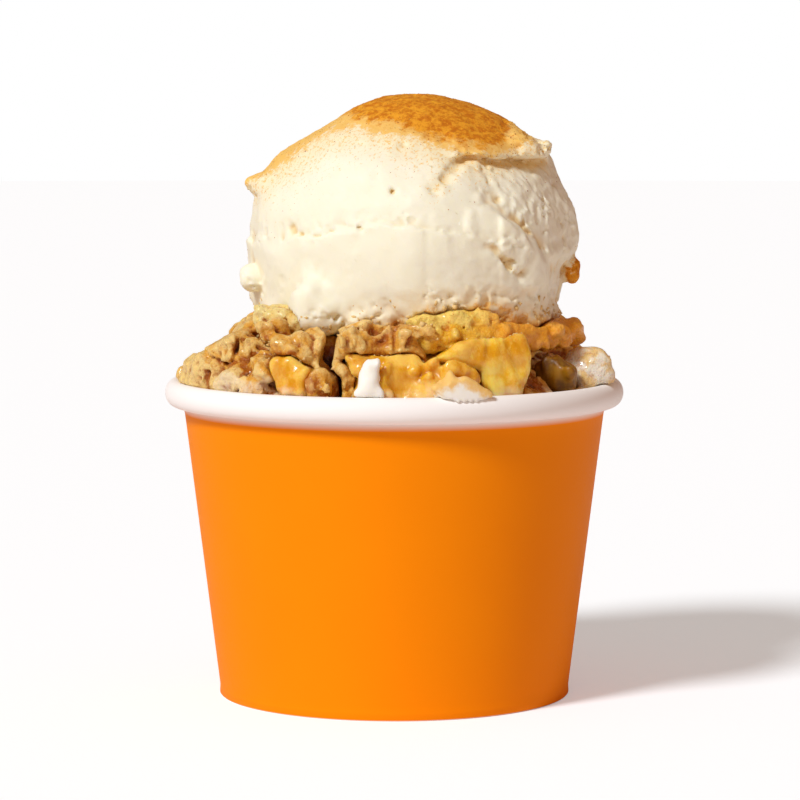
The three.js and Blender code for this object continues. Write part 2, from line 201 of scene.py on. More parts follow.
# Scoop
SCOOP_VOXEL = 0.48 / FINE
SCOOP_TOP = 125.3
SCOOP_MERGING = 0.004
GRAIN_SEED = 77
GRAINS_LOW = 92
GRAIN_SIZES = (0.1, 0.24)
# How far the corners of a grain lie from its middle, as shares of its size
GRAIN_SIDES = (0.6, 1.2)
# Rounding of the scoop all over, and more of it between two heights where it is smooth
SCOOP_ROUNDING = 0.9
SMOOTH_ROUNDING = 3.0
SMOOTH_HEIGHTS = (80, 92)
# Small lumps along the foot of the scoop: number, sizes, highest place and room kept from other pieces
FOOT_LUMPS = 170
FOOT_LUMP_SIZES = (0.5, 1.5)
FOOT_LUMPS_HIGH = 87
FOOT_LUMPS_CLEAR = 2.6
# Depth over which what belongs to the front or the back of the scoop fades in
SIDE_FADE = (2, 14)
# How far lines that are drawn for the front wander at the back
BACK_DRIFT = 6.0
# Lines across the front as [x, z]: edge of the golden dust, edge of the brown dust, lip of the cap, fold of
# the big ball and low fold behind
DUST_EDGE = [
    (-36, 103), (-29.8, 106.8), (-26, 108.4), (-23.7, 109.8), (-17.4, 114.6), (-12.9, 117.2), (-7.5, 118.3),
    (-2.2, 117.3), (1.6, 116), (5.2, 115.3), (9.6, 113.8), (14.3, 112.7), (20.2, 112.5), (23.3, 113),
    (25.5, 113.8), (29, 115.4), (36, 118),
]
BROWN_EDGE = [
    (-26, 120), (-18, 120.8), (-12, 121.6), (-9.9, 121), (-5.9, 119.9), (0, 118.9), (5.2, 116.7),
    (12.7, 114.9), (20, 113.6), (22.5, 115.5), (24, 119), (27, 125),
]
CAP_LIP = [(-36, 106), (-20, 108), (0, 113), (12, 112.8), (17.3, 113), (23.6, 112.4), (31, 112.2), (40, 111)]
FOLD_LINE = [
    (-36, 94), (-24, 96), (-18.9, 96.6), (-10, 98.6), (-2.8, 100), (3, 100), (9.4, 99), (16.2, 97.2),
    (18.2, 95.7), (20.8, 93.3), (23.3, 90.6), (24.9, 88.7), (28, 85), (36, 80),
]
LOW_LINE = [(-40, 92), (-20, 95), (0, 91), (20, 94), (40, 92)]
# Height up to which golden crumbs cling to the foot of the scoop, across the front as [x, z]
CRUMB_EDGE = [
    (-40, 78), (-24, 77.5), (-12, 77), (-6, 79), (2, 80.5), (8, 82.5), (15, 83), (24, 81.5), (32, 79),
    (40, 78),
]
# Middle of the flap of ice cream at the right and of the small tear above it, as [x, z]
FLAP_PATH = [(17.0, 99.8), (21.2, 97.8), (25.3, 94.0), (28.0, 89.2)]
FLAP_WIDE = 3.2
TEAR_PATH = [(8.4, 106.8), (11.0, 109.2), (14.6, 112.8)]
LEFT_CREASE = -28.8
# Pits in the front as [x, z, width, depth]
PITS = [(-0.3, 105.9, 0.5, 0.8), (23.4, 92.4, 0.8, 1.0), (25.6, 89.8, 0.8, 0.9), (-20.4, 98.6, 1.1, 0.6)]
# Lumps fused onto the scoop as [centre, half sizes, blend]: the pointed end of the cap, a tongue of melted
# cream and a knob at the left, and a bead of syrup at the right
SYRUP_BEAD = ((37.0, -5.0, 88.8), (1.7, 2.1, 2.7), 1.0)
SCOOP_LUMPS = [
    ((29.6, -7.0, 114.3), (2.8, 4.0, 1.5), 1.0),
    ((-16.3, -27.6, 82.2), (5.2, 3.2, 4.6), 3.5),
    ((-29.3, -9.0, 87.4), (2.8, 3.0, 3.0), 0.8),
    SYRUP_BEAD,
]
TONGUE_REACH = (-21.5, -11.0)


# Noise

def scrambled(value):
    """Repeatable random numbers from 0 to 1 for unsigned integers."""
    for shift, factor in ((15, 2246822519), (13, 3266489917)):
        value = (value ^ (value >> np.uint32(shift))) * np.uint32(factor)
    value = value ^ (value >> np.uint32(16))
    return value.astype(np.float32) * np.float32(1 / 2**32)


def in_cells(points, size):
    """Cell of each point in a grid of cubes, and its place in the cell from 0 to 1."""
    scaled = points / size + 100.5
    cells = np.floor(scaled)
    return cells, (scaled - cells).astype(np.float32)


def cell_keys(cells, seed):
    """For each axis, the numbers of a cell and of its neighbours on both sides."""
    keys = []
    for axis, prime in enumerate((73856093, 19349663, 83492791)):
        column = cells[:, axis].astype(np.int64).astype(np.uint32)
        keys.append([(column + np.uint32(step)) * np.uint32(prime) for step in (2**32 - 1, 0, 1)])
    keys[0] = [key ^ np.uint32(seed * 2654435 + 97) for key in keys[0]]
    return keys


def waves(points, size, seed):
    """Smooth noise from -1 to 1 with lumps of about the given size, and others for each seed."""
    cells, part = in_cells(points, size)
    part = part * part * part * (part * (part * 6 - 15) + 10)
    keys = cell_keys(cells, seed)
    shares = [(1 - part[:, axis], part[:, axis]) for axis in range(3)]
    total = np.zeros(len(points), np.float32)
    for x, y, z in np.ndindex(2, 2, 2):
        share = shares[0][x] * shares[1][y] * shares[2][z]
        total += share * scrambled(keys[0][x + 1] ^ keys[1][y + 1] ^ keys[2][z + 1])
    return 2 * total - 1


def cell_distance(points, size, seed):
    """Distance to the nearest of scattered points, as a share of the size between them."""
    cells, part = in_cells(points, size)
    keys = cell_keys(cells, seed)
    nearest = np.full(len(points), 9.0, np.float32)
    for steps in np.ndindex(3, 3, 3):
        key = keys[0][steps[0]] ^ keys[1][steps[1]] ^ keys[2][steps[2]]
        away = np.zeros(len(points), np.float32)
        for axis, step in enumerate(steps):
            spot = step - 1 + 0.08 + 0.84 * scrambled(key + np.uint32(7919 * (axis + 1)))
            away += (part[:, axis] - spot) ** 2
        np.minimum(nearest, away, out=nearest)
    return np.sqrt(nearest)


def ramp(value, low, high):
    """Smooth step from 0 at low to 1 at high."""
    share = np.clip((value - low) / (high - low), 0, 1)
    return share * share * (3 - 2 * share)


def between(value, low, high, soft):
    """1 between low and high and 0 outside, with soft ends."""
    return ramp(value, low - soft, low + soft) * (1 - ramp(value, high - soft, high + soft))


def bell(value, width):
    """1 at 0, falling off to both sides over about the width."""
    return np.exp(-(value / width) ** 2)


def joined(first, second, soft):
    """The larger of two values with a soft change between them; pass both negated for the smaller."""
    share = np.clip(0.5 + 0.5 * (second - first) / soft, 0, 1)
    return first + (second - first) * share + soft * share * (1 - share)


def path_gap(points, path):
    """Distance across the front from points to the nearest part of a path in [x, z]."""
    places = points[:, [0, 2]]
    nearest = np.full(len(places), 1e3)
    for start, end in zip(path[:-1], path[1:]):
        start, end = np.array(start), np.array(end)
        line = end - start
        share = np.clip((places - start) @ line / (line @ line), 0, 1)
        nearest = np.minimum(nearest, np.linalg.norm(places - start - share[:, None] * line, axis=1))
    return nearest


def radii(points):
    """Distance of each point from the axis of the cup."""
    return np.hypot(points[:, 0], points[:, 1])


def random_turn(rng):
    """Random rotation as a 3 by 3 matrix."""
    axes, _ = np.linalg.qr(rng.normal(size=(3, 3)))
    return axes * np.sign(np.linalg.det(axes))


# Solids as distance fields

def node_polygons(name):
    """Vertices in millimetres and triangles of a CAD node."""
    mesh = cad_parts[name].data
    mesh.calc_loop_triangles()
    vertices = np.empty(len(mesh.vertices) * 3)
    mesh.vertices.foreach_get("co", vertices)
    triangles = np.empty(len(mesh.loop_triangles) * 3, np.int32)
    mesh.loop_triangles.foreach_get("vertices", triangles)
    return vertices.reshape(-1, 3) / MM, triangles.reshape(-1, 3)


class Field:
    """Signed distance in millimetres on a grid of cubes, negative inside the solid."""

    def __init__(self, node, voxel, bottom=-math.inf, spare=0):
        """Takes the solid of a CAD node, from a height up, with spare room past its far corner."""
        vertices, triangles = node_polygons(node)
        low, high = vertices.min(axis=0), vertices.max(axis=0) + spare
        low[2] = max(low[2], bottom)
        self.voxel = voxel
        self.first = np.floor((low - REACH) / voxel).astype(int)
        last = np.ceil((high + REACH) / voxel).astype(int)
        self.values = np.full(last - self.first + 1, REACH, np.float32)
        self.tints = np.zeros(self.values.shape, np.float32)
        grid = openvdb.FloatGrid.createLevelSetFromPolygons(
            np.ascontiguousarray(vertices, np.float32),
            triangles=np.ascontiguousarray(triangles, np.uint32),
            transform=openvdb.createLinearTransform(voxel),
            halfWidth=REACH / voxel,
        )
        grid.copyToArray(self.values, ijk=tuple(int(i) for i in self.first))
        self.values = np.minimum(self.values, REACH)

    def blurred(self, radius):
        """Values averaged over about the given radius."""
        width = max(1, int(round(radius / self.voxel)))
        values = self.values
        for axis in (0, 1, 2, 0, 1, 2):
            lines = np.moveaxis(values, axis, 0)
            padded = np.pad(lines, [(width + 1, width), (0, 0), (0, 0)], mode="edge")
            total = np.cumsum(padded, axis=0, dtype=np.float64)
            lines = (total[2 * width + 1:] - total[:-2 * width - 1]) / (2 * width + 1)
            values = np.moveaxis(lines.astype(np.float32), 0, axis)
        return np.ascontiguousarray(values)

    def places(self, index):
        """Positions of cells that are given by their grid indices."""
        return (np.stack(index, axis=1) + self.first) * self.voxel

    def near(self, band):
        """Places and grid indices of the cells within the band of the surface."""
        index = np.nonzero(np.abs(self.values) < band)
        return self.places(index), index

    def box(self, low, high, spare=0):
        """Lowest and highest index, and slices, of the cells in a box."""
        low = np.maximum(np.floor(low / self.voxel).astype(int) - self.first, 0)
        high = np.minimum(np.ceil(high / self.voxel).astype(int) - self.first + spare, self.values.shape)
        return low, high, tuple(slice(a, b) for a, b in zip(low, high))

    def cut(self, index, away, soft=CARVE_SOFTNESS):
        """Keeps only what is also inside another solid, given by its distances."""
        self.values[index] = joined(self.values[index], away, soft)

    def fuse(self, index, away, soft=CARVE_SOFTNESS):
        """Adds another solid, given by its distances."""
        self.values[index] = -joined(-self.values[index], -away, soft)

    def push_out(self, band, relief):
        """Moves the surface outwards by a relief in millimetres."""
        points, index = self.near(band)
        self.values[index] -= relief(points)

    def add_lump(self, centre, half, turn, blend, rough, seed, tint):
        """Fuses on a rough ellipsoid with a tint of its own."""
        centre, half = np.asarray(centre, float), np.asarray(half, float)
        wide = half.max() * 1.3 + blend
        low, high, box = self.box(centre - wide, centre + wide, 1)
        cells = np.meshgrid(*[np.arange(a, b) for a, b in zip(low, high)], indexing="ij")
        points = self.places([axis.ravel() for axis in cells])
        if not len(points):
            return
        local = (points - centre) @ np.asarray(turn, float)
        local *= 1 + rough * waves(points, half.min() * 1.2, seed)[:, None]
        lump = ((np.abs(local / half) ** LUMP_POWER).sum(axis=1) ** (1 / LUMP_POWER) - 1) * half.min()
        lump = lump.reshape(cells[0].shape)
        self.tints[box] = np.where(lump < self.values[box], tint, self.tints[box])
        self.fuse(box, lump, blend)

    def heights(self):
        """Height of each layer of the grid."""
        return ((np.arange(self.values.shape[2]) + self.first[2]) * self.voxel).astype(np.float32)

    def within(self, radius):
        """Cuts off what is further than a radius from the Z axis."""
        x, y = (((np.arange(n) + f) * self.voxel) for n, f in zip(self.values.shape, self.first[:2]))
        far = np.hypot(x[:, None], y[None, :]).astype(np.float32) - radius
        self.values = np.maximum(self.values, far[:, :, None])

    def carve(self, path, wide):
        """Cuts a groove with a wavering edge into the front, along a path in [x, z]."""
        points, index = self.near(WIDE_BAND)
        places = points + 0.8 * waves(points, 2.5, 171)[:, None]
        self.cut(index, np.where(points[:, 1] < -26, wide - path_gap(places, path), -1e3))

    def add_facets(self, facets):
        """Cuts flat sides onto a round solid."""
        points, index = self.near(WIDE_BAND)
        inside = self.places(np.nonzero(self.values < 0))
        middle = (inside.min(axis=0) + inside.max(axis=0)) / 2
        for direction, distance in facets:
            away = (points - middle) @ (np.array(direction) / np.linalg.norm(direction)) - distance
            self.cut(index, away, FACET_SOFTNESS)

    def keep_off(self, other, gap, soft=0.0):
        """Cuts this solid back to a gap from another, with rounded edges if soft is above 0."""
        corner = other.first * other.voxel
        low, high, box = self.box(corner, (other.first + other.values.shape) * other.voxel)
        if (high <= low).any():
            return
        close = np.nonzero(self.values[box] < gap + 0.5 + soft)
        index = tuple(cells + start for cells, start in zip(close, low))
        away = gap - other.at(self.places(index))
        if soft:
            self.cut(index, away, soft)
        else:
            self.values[index] = np.maximum(self.values[index], away)

    def at(self, points, values=None):
        """Distances, or other values on the same grid, between its cells."""
        values = self.values if values is None else values
        shape = values.shape
        scaled = (points / self.voxel - self.first).astype(np.float32)
        cells = np.clip(scaled.astype(np.int32), 0, np.array(shape, np.int32) - 2)
        part = np.clip(scaled - cells, 0, 1)
        flat = np.ravel_multi_index(tuple(cells.T), shape)
        values = values.ravel()
        total = np.zeros(len(points), np.float32)
        for steps in np.ndindex(2, 2, 2):
            share = 1.0
            for axis, step in enumerate(steps):
                share = share * (part[:, axis] if step else 1 - part[:, axis])
            total += share * values[flat + (steps[0] * shape[1] + steps[1]) * shape[2] + steps[2]]
        return total

    def surface(self, merging=0.0):
        """Points and triangles of the surface, with flat places merged."""
        grid = openvdb.FloatGrid(REACH)
        grid.copyFromArray(self.values, ijk=tuple(int(i) for i in self.first))
        grid.transform = openvdb.createLinearTransform(self.voxel)
        points, triangles, quads = grid.convertToPolygons(0.0, merging)
        faces = np.concatenate([triangles, quads[:, [0, 1, 2]], quads[:, [0, 2, 3]]])
        return points.astype(np.float64), faces[:, ::-1].astype(np.int64)


# Meshes

def vertex_normals(points, faces):
    """Unit normals of the points, from the faces round each."""
    across = points[faces[:, 2]] - points[faces[:, 0]]
    down = points[faces[:, -1]] - points[faces[:, 1]]
    face_normals = np.cross(across, down)
    normals = np.zeros_like(points)
    for column in range(faces.shape[1]):
        np.add.at(normals, faces[:, column], face_normals)
    return normals / (np.linalg.norm(normals, axis=1, keepdims=True) + 1e-12)


def largest_part(points, faces):
    """Drops the loose scraps of a surface."""
    label = np.arange(len(points))
    while True:
        lowest = label[faces].min(axis=1)
        new = label.copy()
        for column in range(faces.shape[1]):
            np.minimum.at(new, faces[:, column], lowest)
        new = new[new]
        if (new == label).all():
            break
        label = new
    names, counts = np.unique(label, return_counts=True)
    kept = label == names[counts.argmax()]
    index = np.cumsum(kept) - 1
    return points[kept], index[faces[kept[faces[:, 0]]]]


def add_object(name, data):
    """New object in the scene."""
    made = bpy.data.objects.new(name, data)
    bpy.context.scene.collection.objects.link(made)
    return made


def new_mesh(name, points, faces, material):
    """Smooth shaded mesh from points in millimetres and faces with the same number of corners."""
    mesh = bpy.data.meshes.new(name)
    corners = faces.shape[1]
    mesh.vertices.add(len(points))
    mesh.vertices.foreach_set("co", (np.asarray(points, np.float64) * MM).ravel())
    mesh.loops.add(faces.size)
    mesh.loops.foreach_set("vertex_index", faces.ravel().astype(np.int32))
    mesh.polygons.add(len(faces))
    mesh.polygons.foreach_set("loop_start", np.arange(0, faces.size, corners, dtype=np.int32))
    mesh.polygons.foreach_set("loop_total", np.full(len(faces), corners, np.int32))
    mesh.polygons.foreach_set("use_smooth", np.ones(len(faces), bool))
    mesh.update(calc_edges=True)
    mesh.validate()
    mesh.materials.append(material)
    return mesh


def new_piece(name, points, faces, material, slot, replaced=(), **marks):
    """Piece that rides on the part, with values per vertex by name."""
    mesh = new_mesh(name, points, faces, material)
    for mark, values in marks.items():
        layer = mesh.attributes.new(mark, "FLOAT", "POINT")
        layer.data.foreach_set("value", np.asarray(values, np.float32))
    piece = add_object(name, mesh)
    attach(piece, "root")
    if replaced:
        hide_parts(*replaced)


def turned(outline, segments, closed=True):
    """Points and quads of an outline in [radius, height] turned about the Z axis."""
    angles = np.arange(segments) * 2 * math.pi / segments
    count = len(outline)
    radius = outline[:, 0][None, :]
    points = np.stack([
        radius * np.cos(angles)[:, None],
        radius * np.sin(angles)[:, None],
        np.broadcast_to(outline[:, 1], (segments, count)),
    ], axis=2).reshape(-1, 3)
    step = np.arange(segments)[:, None] * count
    after = (np.arange(segments)[:, None] + 1) % segments * count
    here = np.arange(count if closed else count - 1)[None, :]
    there = (here + 1) % count
    faces = np.stack([step + here, after + here, after + there, step + there], axis=2)
    return points, faces.reshape(-1, 4)


# Materials

def colour(*screen):
    """Linear colour from 8-bit screen values."""
    shares = [value / 255 for value in screen]
    return tuple(c / 12.92 if c <= 10 / 255 else ((c + 0.055) / 1.055) ** 2.4 for c in shares) + (1,)


class Shader:
    """Node material built up by short calls, which take colours as three 8-bit screen values."""

    def __init__(self, name):
        self.material = bpy.data.materials.new(name)
        self.material.use_nodes = True
        self.tree = self.material.node_tree
        self.bsdf = self.tree.nodes["Principled BSDF"]

    def feed(self, socket, value):
        if isinstance(value, bpy.types.NodeSocket):
            self.tree.links.new(value, socket)
        elif socket.type == "RGBA" and len(value) == 3:
            socket.default_value = colour(*value)
        else:
            socket.default_value = value

    def feed_all(self, node, inputs):
        for key, value in inputs.items():
            self.feed(node.inputs[key.replace("_", " ")], value)

    def node(self, kind, **inputs):
        made = self.tree.nodes.new(kind)
        self.feed_all(made, inputs)
        return made

    def set(self, **inputs):
        self.feed_all(self.bsdf, inputs)

    def mark(self, name):
        """Value per vertex that the mesh carries under a name."""
        made = self.tree.nodes.new("ShaderNodeAttribute")
        made.attribute_name = name
        return made.outputs["Fac"]

    def place(self):
        return self.node("ShaderNodeTexCoord").outputs["Object"]

    def along(self, axis):
        """Position along X, Y or Z in metres."""
        return self.node("ShaderNodeSeparateXYZ", Vector=self.place()).outputs[axis]

    def noise(self, size, detail=3, rough=0.5, stretch=(1, 1, 1)):
        """Noise from 0 to 1 with features of a size in millimetres."""
        mapping = self.node("ShaderNodeMapping", Vector=self.place(), Scale=stretch)
        made = self.node(
            "ShaderNodeTexNoise",
            Vector=mapping.outputs["Vector"], Scale=1 / (size * MM), Detail=detail, Roughness=rough,
        )
        return made.outputs["Fac"]

    def math(self, operation, first, second=0.0):
        made = self.tree.nodes.new("ShaderNodeMath")
        made.operation = operation
        self.feed(made.inputs[0], first)
        self.feed(made.inputs[1], second)
        return made.outputs[0]

    def plus(self, value, other, times=1.0):
        """A value plus a multiple of another."""
        return self.math("ADD", value, self.math("MULTIPLY", other, times))

    def spread(self, value, low, high, to_low=0.0, to_high=1.0):
        """Smooth change of a value between low and high to one from to_low to to_high."""
        made = self.node("ShaderNodeMapRange", Value=value, From_Min=low, From_Max=high)
        made.interpolation_type = "SMOOTHSTEP"
        self.feed_all(made, {"To Min": to_low, "To Max": to_high})
        return made.outputs["Result"]

    def mixed(self, share, under, over):
        """Two colours mixed by a share of the second."""
        made = self.tree.nodes.new("ShaderNodeMix")
        made.data_type = "RGBA"
        self.feed(made.inputs[0], share)
        self.feed(made.inputs[6], under)
        self.feed(made.inputs[7], over)
        return made.outputs[2]

    def coat(self, under, over, value, *limits):
        """A colour that turns into another where a value spreads from low to high."""
        return self.mixed(self.spread(value, *limits), under, over)

    def bump(self, height, distance, strength=1.0):
        """Bump with a height in millimetres."""
        made = self.node("ShaderNodeBump", Height=height, Distance=distance * MM, Strength=strength)
        self.set(Normal=made.outputs["Normal"])


# Paper cup

def wall_radius(z, inwards=0.0):
    """Radius of the wall's outside at a height, or further in."""
    slope = (SHOULDER_RADIUS - FOOT_RADIUS) / SHOULDER_Z
    return FOOT_RADIUS + slope * z - inwards


def roll_arc(inwards, start, end, count):
    """Part of the rolled rim's outline, on its outside or further in."""
    middle_r = RIM_RADIUS - ROLL_WIDTH / 2
    middle_z = RIM_TOP - ROLL_HEIGHT / 2
    arc = []
    for angle in np.radians(np.linspace(start, end, count)):
        radius = middle_r + (ROLL_WIDTH / 2 - inwards) * math.cos(angle)
        arc.append((radius, middle_z + (ROLL_HEIGHT / 2 - inwards) * math.sin(angle)))
    return arc


def cup_outline():
    """Closed outline of the wall as [radius, height]: outside, rolled rim, inside and hem."""
    channel = 2 * HEM_PLAY + 2 * PAPER
    outline = [(wall_radius(z), z) for z in np.linspace(CUT_EDGE, SHOULDER_Z, 40)]
    outline += roll_arc(PAPER, 180, -120, 40) + roll_arc(0, -120, 180, 60)
    inside = [
        (SHOULDER_Z, PAPER), (30, PAPER), (PAPER, PAPER), (PAPER, channel), (HEM_HEIGHT, channel),
        (HEM_HEIGHT, channel + PAPER), (CUT_EDGE, channel + PAPER), (0, channel + PAPER - 0.2), (0, 0.2),
    ]
    outline += [(wall_radius(z, inwards), z) for z, inwards in inside]
    return np.array(outline)


def paper_print():
    """Orange print outside, bare white rim and inside."""
    shader = Shader("cup_paper")
    fibres = shader.noise(0.5, 4, 0.6)
    clouds = shader.noise(16, 2)
    orange = shader.mixed(clouds, (255, 144, 0), (252, 139, 0))
    white = shader.mixed(clouds, (254, 252, 249), (251, 249, 246))
    shader.set(
        Base_Color=shader.mixed(shader.mark("printed"), white, orange),
        Roughness=shader.spread(fibres, 0.2, 0.8, 0.46, 0.6),
        Specular_IOR_Level=0.06,
    )
    shader.bump(fibres, 0.03, 0.35)
    return shader.material


def make_cup():
    """Wall of the cup with its rolled rim, hem and overlap seam."""
    points, faces = turned(cup_outline(), CUP_SEGMENTS)
    height = points[:, 2]
    radius = radii(points)
    outside = radius > wall_radius(height, PAPER * 0.5)
    below_roll = height < SHOULDER_Z - 0.4
    along_seam = np.arctan2(points[:, 1], points[:, 0]) - SEAM_ANGLE
    overlap = ramp(along_seam, 0, SEAM_EDGE) * (1 - ramp(along_seam, SEAM_WIDTH, SEAM_WIDTH + SEAM_TAPER))
    raised = radius - SEAM_STEP * (1 - overlap) * (outside & below_roll) * ramp(height, 0, 1.5)
    points[:, 0] *= raised / radius
    points[:, 1] *= raised / radius
    printed = (outside & (height < SHOULDER_Z - 0.1) & (height > 0.02)).astype(float)
    new_piece("paper_cup", points, faces, paper_print(), "cup_paper", ["cup_wall"], printed=printed)


def make_cup_base():
    """Raised base of the cup, with a skirt down to the folded hem."""
    outside = PAPER + HEM_PLAY
    inside = outside + PAPER
    under = BASE_TOP - PAPER
    bend = BASE_TOP - BASE_BEND
    rings = [(PINHOLE, under)] + [(r, under) for r in np.linspace(4, wall_radius(under, inside) - 1, 10)]
    rings += [
        (wall_radius(under, inside), under - BASE_BEND),
        (wall_radius(outside, inside), outside),
        (wall_radius(outside, outside), outside),
        (wall_radius(bend, outside), bend),
        (wall_radius(BASE_TOP, outside) - BASE_BEND, BASE_TOP),
        (PINHOLE, BASE_TOP),
    ]
    shader = Shader("cup_base_paper")
    fibres = shader.noise(0.6, 4, 0.6)
    shader.set(
        Base_Color=shader.mixed(shader.noise(9), (244, 240, 232), (236, 231, 222)),
        Roughness=shader.spread(fibres, 0.2, 0.8, 0.5, 0.65),
    )
    shader.bump(fibres, 0.04, 0.5)
    points, faces = turned(np.array(rings), CUP_SEGMENTS // 2)
    new_piece("cup_base_disc", points, faces, shader.material, "cup_base_paper", ["cup_base"])


# Surface of the ice cream

def above_line(points, line, waver, seed):
    """Height of each point above a wavering line given as [x, z] across the front."""
    xs, zs = np.array(line).T
    behind = ramp(points[:, 1], 0, 20)
    height = np.interp(points[:, 0] + behind * BACK_DRIFT * waves(points, 9, seed + 3), xs, zs)
    height += behind * BACK_DRIFT * waves(points, 26, seed)
    height += waver * waves(points, 6, seed + 1) + 0.45 * waver * waves(points, 2.3, seed + 2)
    slope = np.interp(points[:, 0], (xs[1:] + xs[:-1]) / 2, np.diff(zs) / np.diff(xs))
    return (points[:, 2] - height) / np.sqrt(1 + slope**2)


def above_cap_lip(points):
    return above_line(points, CAP_LIP, 0.5, 11)


def above_fold(points):
    return above_line(points, FOLD_LINE, 1.1, 21)


def above_crumbs(points):
    """Height in millimetres above the golden crumbs that cling to the foot of the scoop."""
    return above_line(points, CRUMB_EDGE, 1.0, 96)


def lip(height, out, fade, groove, width):
    """Edge of an overlapping fold: a lip above the line and a groove just below it."""
    over = out * np.exp(-np.maximum(height, 0) / fade)
    under = -groove * np.exp(np.minimum(height, 0) / width)
    share = ramp(height, -0.35, 0.35)
    return share * over + (1 - share) * under


def on_flap(points):
    """1 on the flap of ice cream at the right of the front, falling off steeply to 0."""
    away = path_gap(points, FLAP_PATH) + 0.5 * waves(points, 3.0, 32)
    return ramp(-points[:, 1], *SIDE_FADE) * (1 - ramp(away, FLAP_WIDE - 0.7, FLAP_WIDE + 0.7))


def on_tongue(points):
    """1 on the tongue of melted cream at the front of the scoop's foot, 0 elsewhere."""
    return ramp(-points[:, 1], 10, 18) * between(points[:, 0], *TONGUE_REACH, 1)


def in_bead(points):
    """Height in millimetres above the edge of the bead of syrup, 6 or more well inside it."""
    centre, half, _ = SYRUP_BEAD
    away = np.linalg.norm((points - centre) / half, axis=1) * (1 + 0.3 * waves(points, 1.8, 97))
    return 12 * (1.2 - away)


def dust_height(points):
    """Height in millimetres above the lower edge of the cinnamon."""
    height = above_line(points, DUST_EDGE, 0.7, 91)
    front = ramp(-points[:, 1], 0, 6)
    tear = -1.5 - 1.5 * path_gap(points, TEAR_PATH)
    height = np.maximum(height, front * (tear + 12) - 12)
    return np.maximum(height, in_bead(points))


def scoop_relief(points):
    """Outward shift of the scoop surface from folds, pits and tears."""
    x, y, z = points.T
    front = ramp(-y, *SIDE_FADE)
    behind = ramp(y, *SIDE_FADE)
    patchy = ramp(waves(points, 9, 3), -0.5, 0.4)
    shift = 0.5 * waves(points, 15, 4) + 0.3 * waves(points, 5.5, 5)
    shift += 0.22 * waves(points * np.array([0.35, 0.35, 1.0]), 4.5, 7)

    cap = above_cap_lip(points)
    reach = between(x, 12, 60, 2.5) * front + behind * (0.4 + 0.6 * ramp(waves(points, 20, 6), -0.2, 0.5))
    deeper = 1 + 0.7 * ramp(x, 20, 27)
    shift += reach * between(cap, -4, 6, 1.5) * lip(cap, 0.9, 3.0, 1.5, 1.4) * deeper

    fold = above_fold(points)
    across = 1 - front * (1 - ramp(x, -24, -17))
    shift += across * patchy * lip(-fold, 0.75, 7.0, 0.65, 1.3) * between(fold, -16, 4, 2)

    flap = on_flap(points)
    flank = front * ramp(x, 13, 20) * between(z, 94, 112.5, 1.5)
    shift += 1.3 * flap - 1.0 * flank * (1 - flap)
    shift -= front * 1.1 * bell(path_gap(points, TEAR_PATH), 1.1)
    shift -= 2.0 * ramp(x, 29, 35) * (1 - ramp(z, 89, 95))

    low = above_line(points, LOW_LINE, 1.0, 41)
    shift += behind * patchy * lip(low, 1.2, 5.0, 1.1, 1.6)

    crease = x - LEFT_CREASE - 1.2 * waves(points, 6, 51)
    shift -= ramp(-y, 0, 8) * 0.7 * bell(crease, 0.8) * between(z, 84, 98, 3)

    for spot_x, spot_z, wide, deep in PITS:
        far = np.hypot(x - spot_x, z - spot_z) / wide
        far = far * (1 + 0.6 * waves(points, 1.3, 61)) + 0.25 * waves(points, 2.2, 62)
        shift -= front * deep * bell(far, 1)
    return shift


def torn_share(points):
    """How torn the scoop surface is, from 0 for smooth to 1."""
    x, y, z = points.T
    front = ramp(-y, *SIDE_FADE)
    gaps = ramp(waves(points, 5, 71), -0.25, 0.35)
    often = 0.3 + 0.7 * gaps
    fold = above_fold(points)
    flap = on_flap(points)
    cap = above_cap_lip(points)
    calm = 1 - front * between(fold, -20, 0, 1) * between(x, -22, 24, 3) * ramp(z, 81, 84)
    foot = 1 - ramp(above_crumbs(points) + 2.5 * waves(points, 5, 72), 0.5, 4.5)
    torn = np.maximum.reduce([
        bell(fold - 0.8, 1.6) * often,
        bell(cap + 1.6, 1.6) * gaps * (front * between(x, 12, 60, 2) + (1 - front)),
        ramp(x, 14, 21) * (1 - flap) * between(z, 93, 112, 2) * (0.4 + 0.6 * gaps),
        ramp(x, 27, 32) * between(z, 80, 112, 2) * often,
        0.9 * (ramp(x, 20, 24) * between(z, 112, 121, 1.5)),
        front * bell(path_gap(points, TEAR_PATH), 1.9),
        foot * (1 - on_tongue(points)),
        0.7 * ramp(waves(points, 9, 73) + 0.4 * waves(points, 3, 74), 0.42, 0.75) * calm,
    ])
    for spot_x, spot_z, wide, _ in PITS:
        torn = np.maximum(torn, front * bell(np.hypot(x - spot_x, z - spot_z) / wide, 1.5))
    return torn


def scoop_tears(points):
    """Fine relief of torn ice cream: pores and ragged little ridges."""
    x, _, z = points.T
    wander = [waves(points, 2.2, 81 + 100 * axis) for axis in range(3)]
    warped = points + 1.2 * np.stack(wander, axis=1)
    pores = cell_distance(warped * np.array([0.75, 0.75, 1.15]), 1.7, 82)
    crumbs = 1 - 1.6 * np.abs(waves(points, 2.4, 83))
    ridges = 1 - np.abs(waves(warped * np.array([1, 1, 0.45]), 1.9, 84))
    flank = ramp(x, 16, 24) * between(z, 95, 109, 2) * ramp(waves(points, 6, 87), -0.3, 0.3)
    shift = -0.85 * ramp(0.5 - pores, 0, 0.35) + 0.5 * crumbs - 0.15
    shift = shift * (1 - 0.6 * flank) + flank * 1.0 * (ridges**2 - 0.6)
    grain = 0.07 * waves(points, 1.0, 85) + 0.08 * waves(points, 2.2, 86)
    powder = 0.12 * waves(points, 1.5, 88) + 0.07 * waves(points, 0.9, 89)
    return torn_share(points) * shift + grain + ramp(dust_height(points), 0, 2) * powder


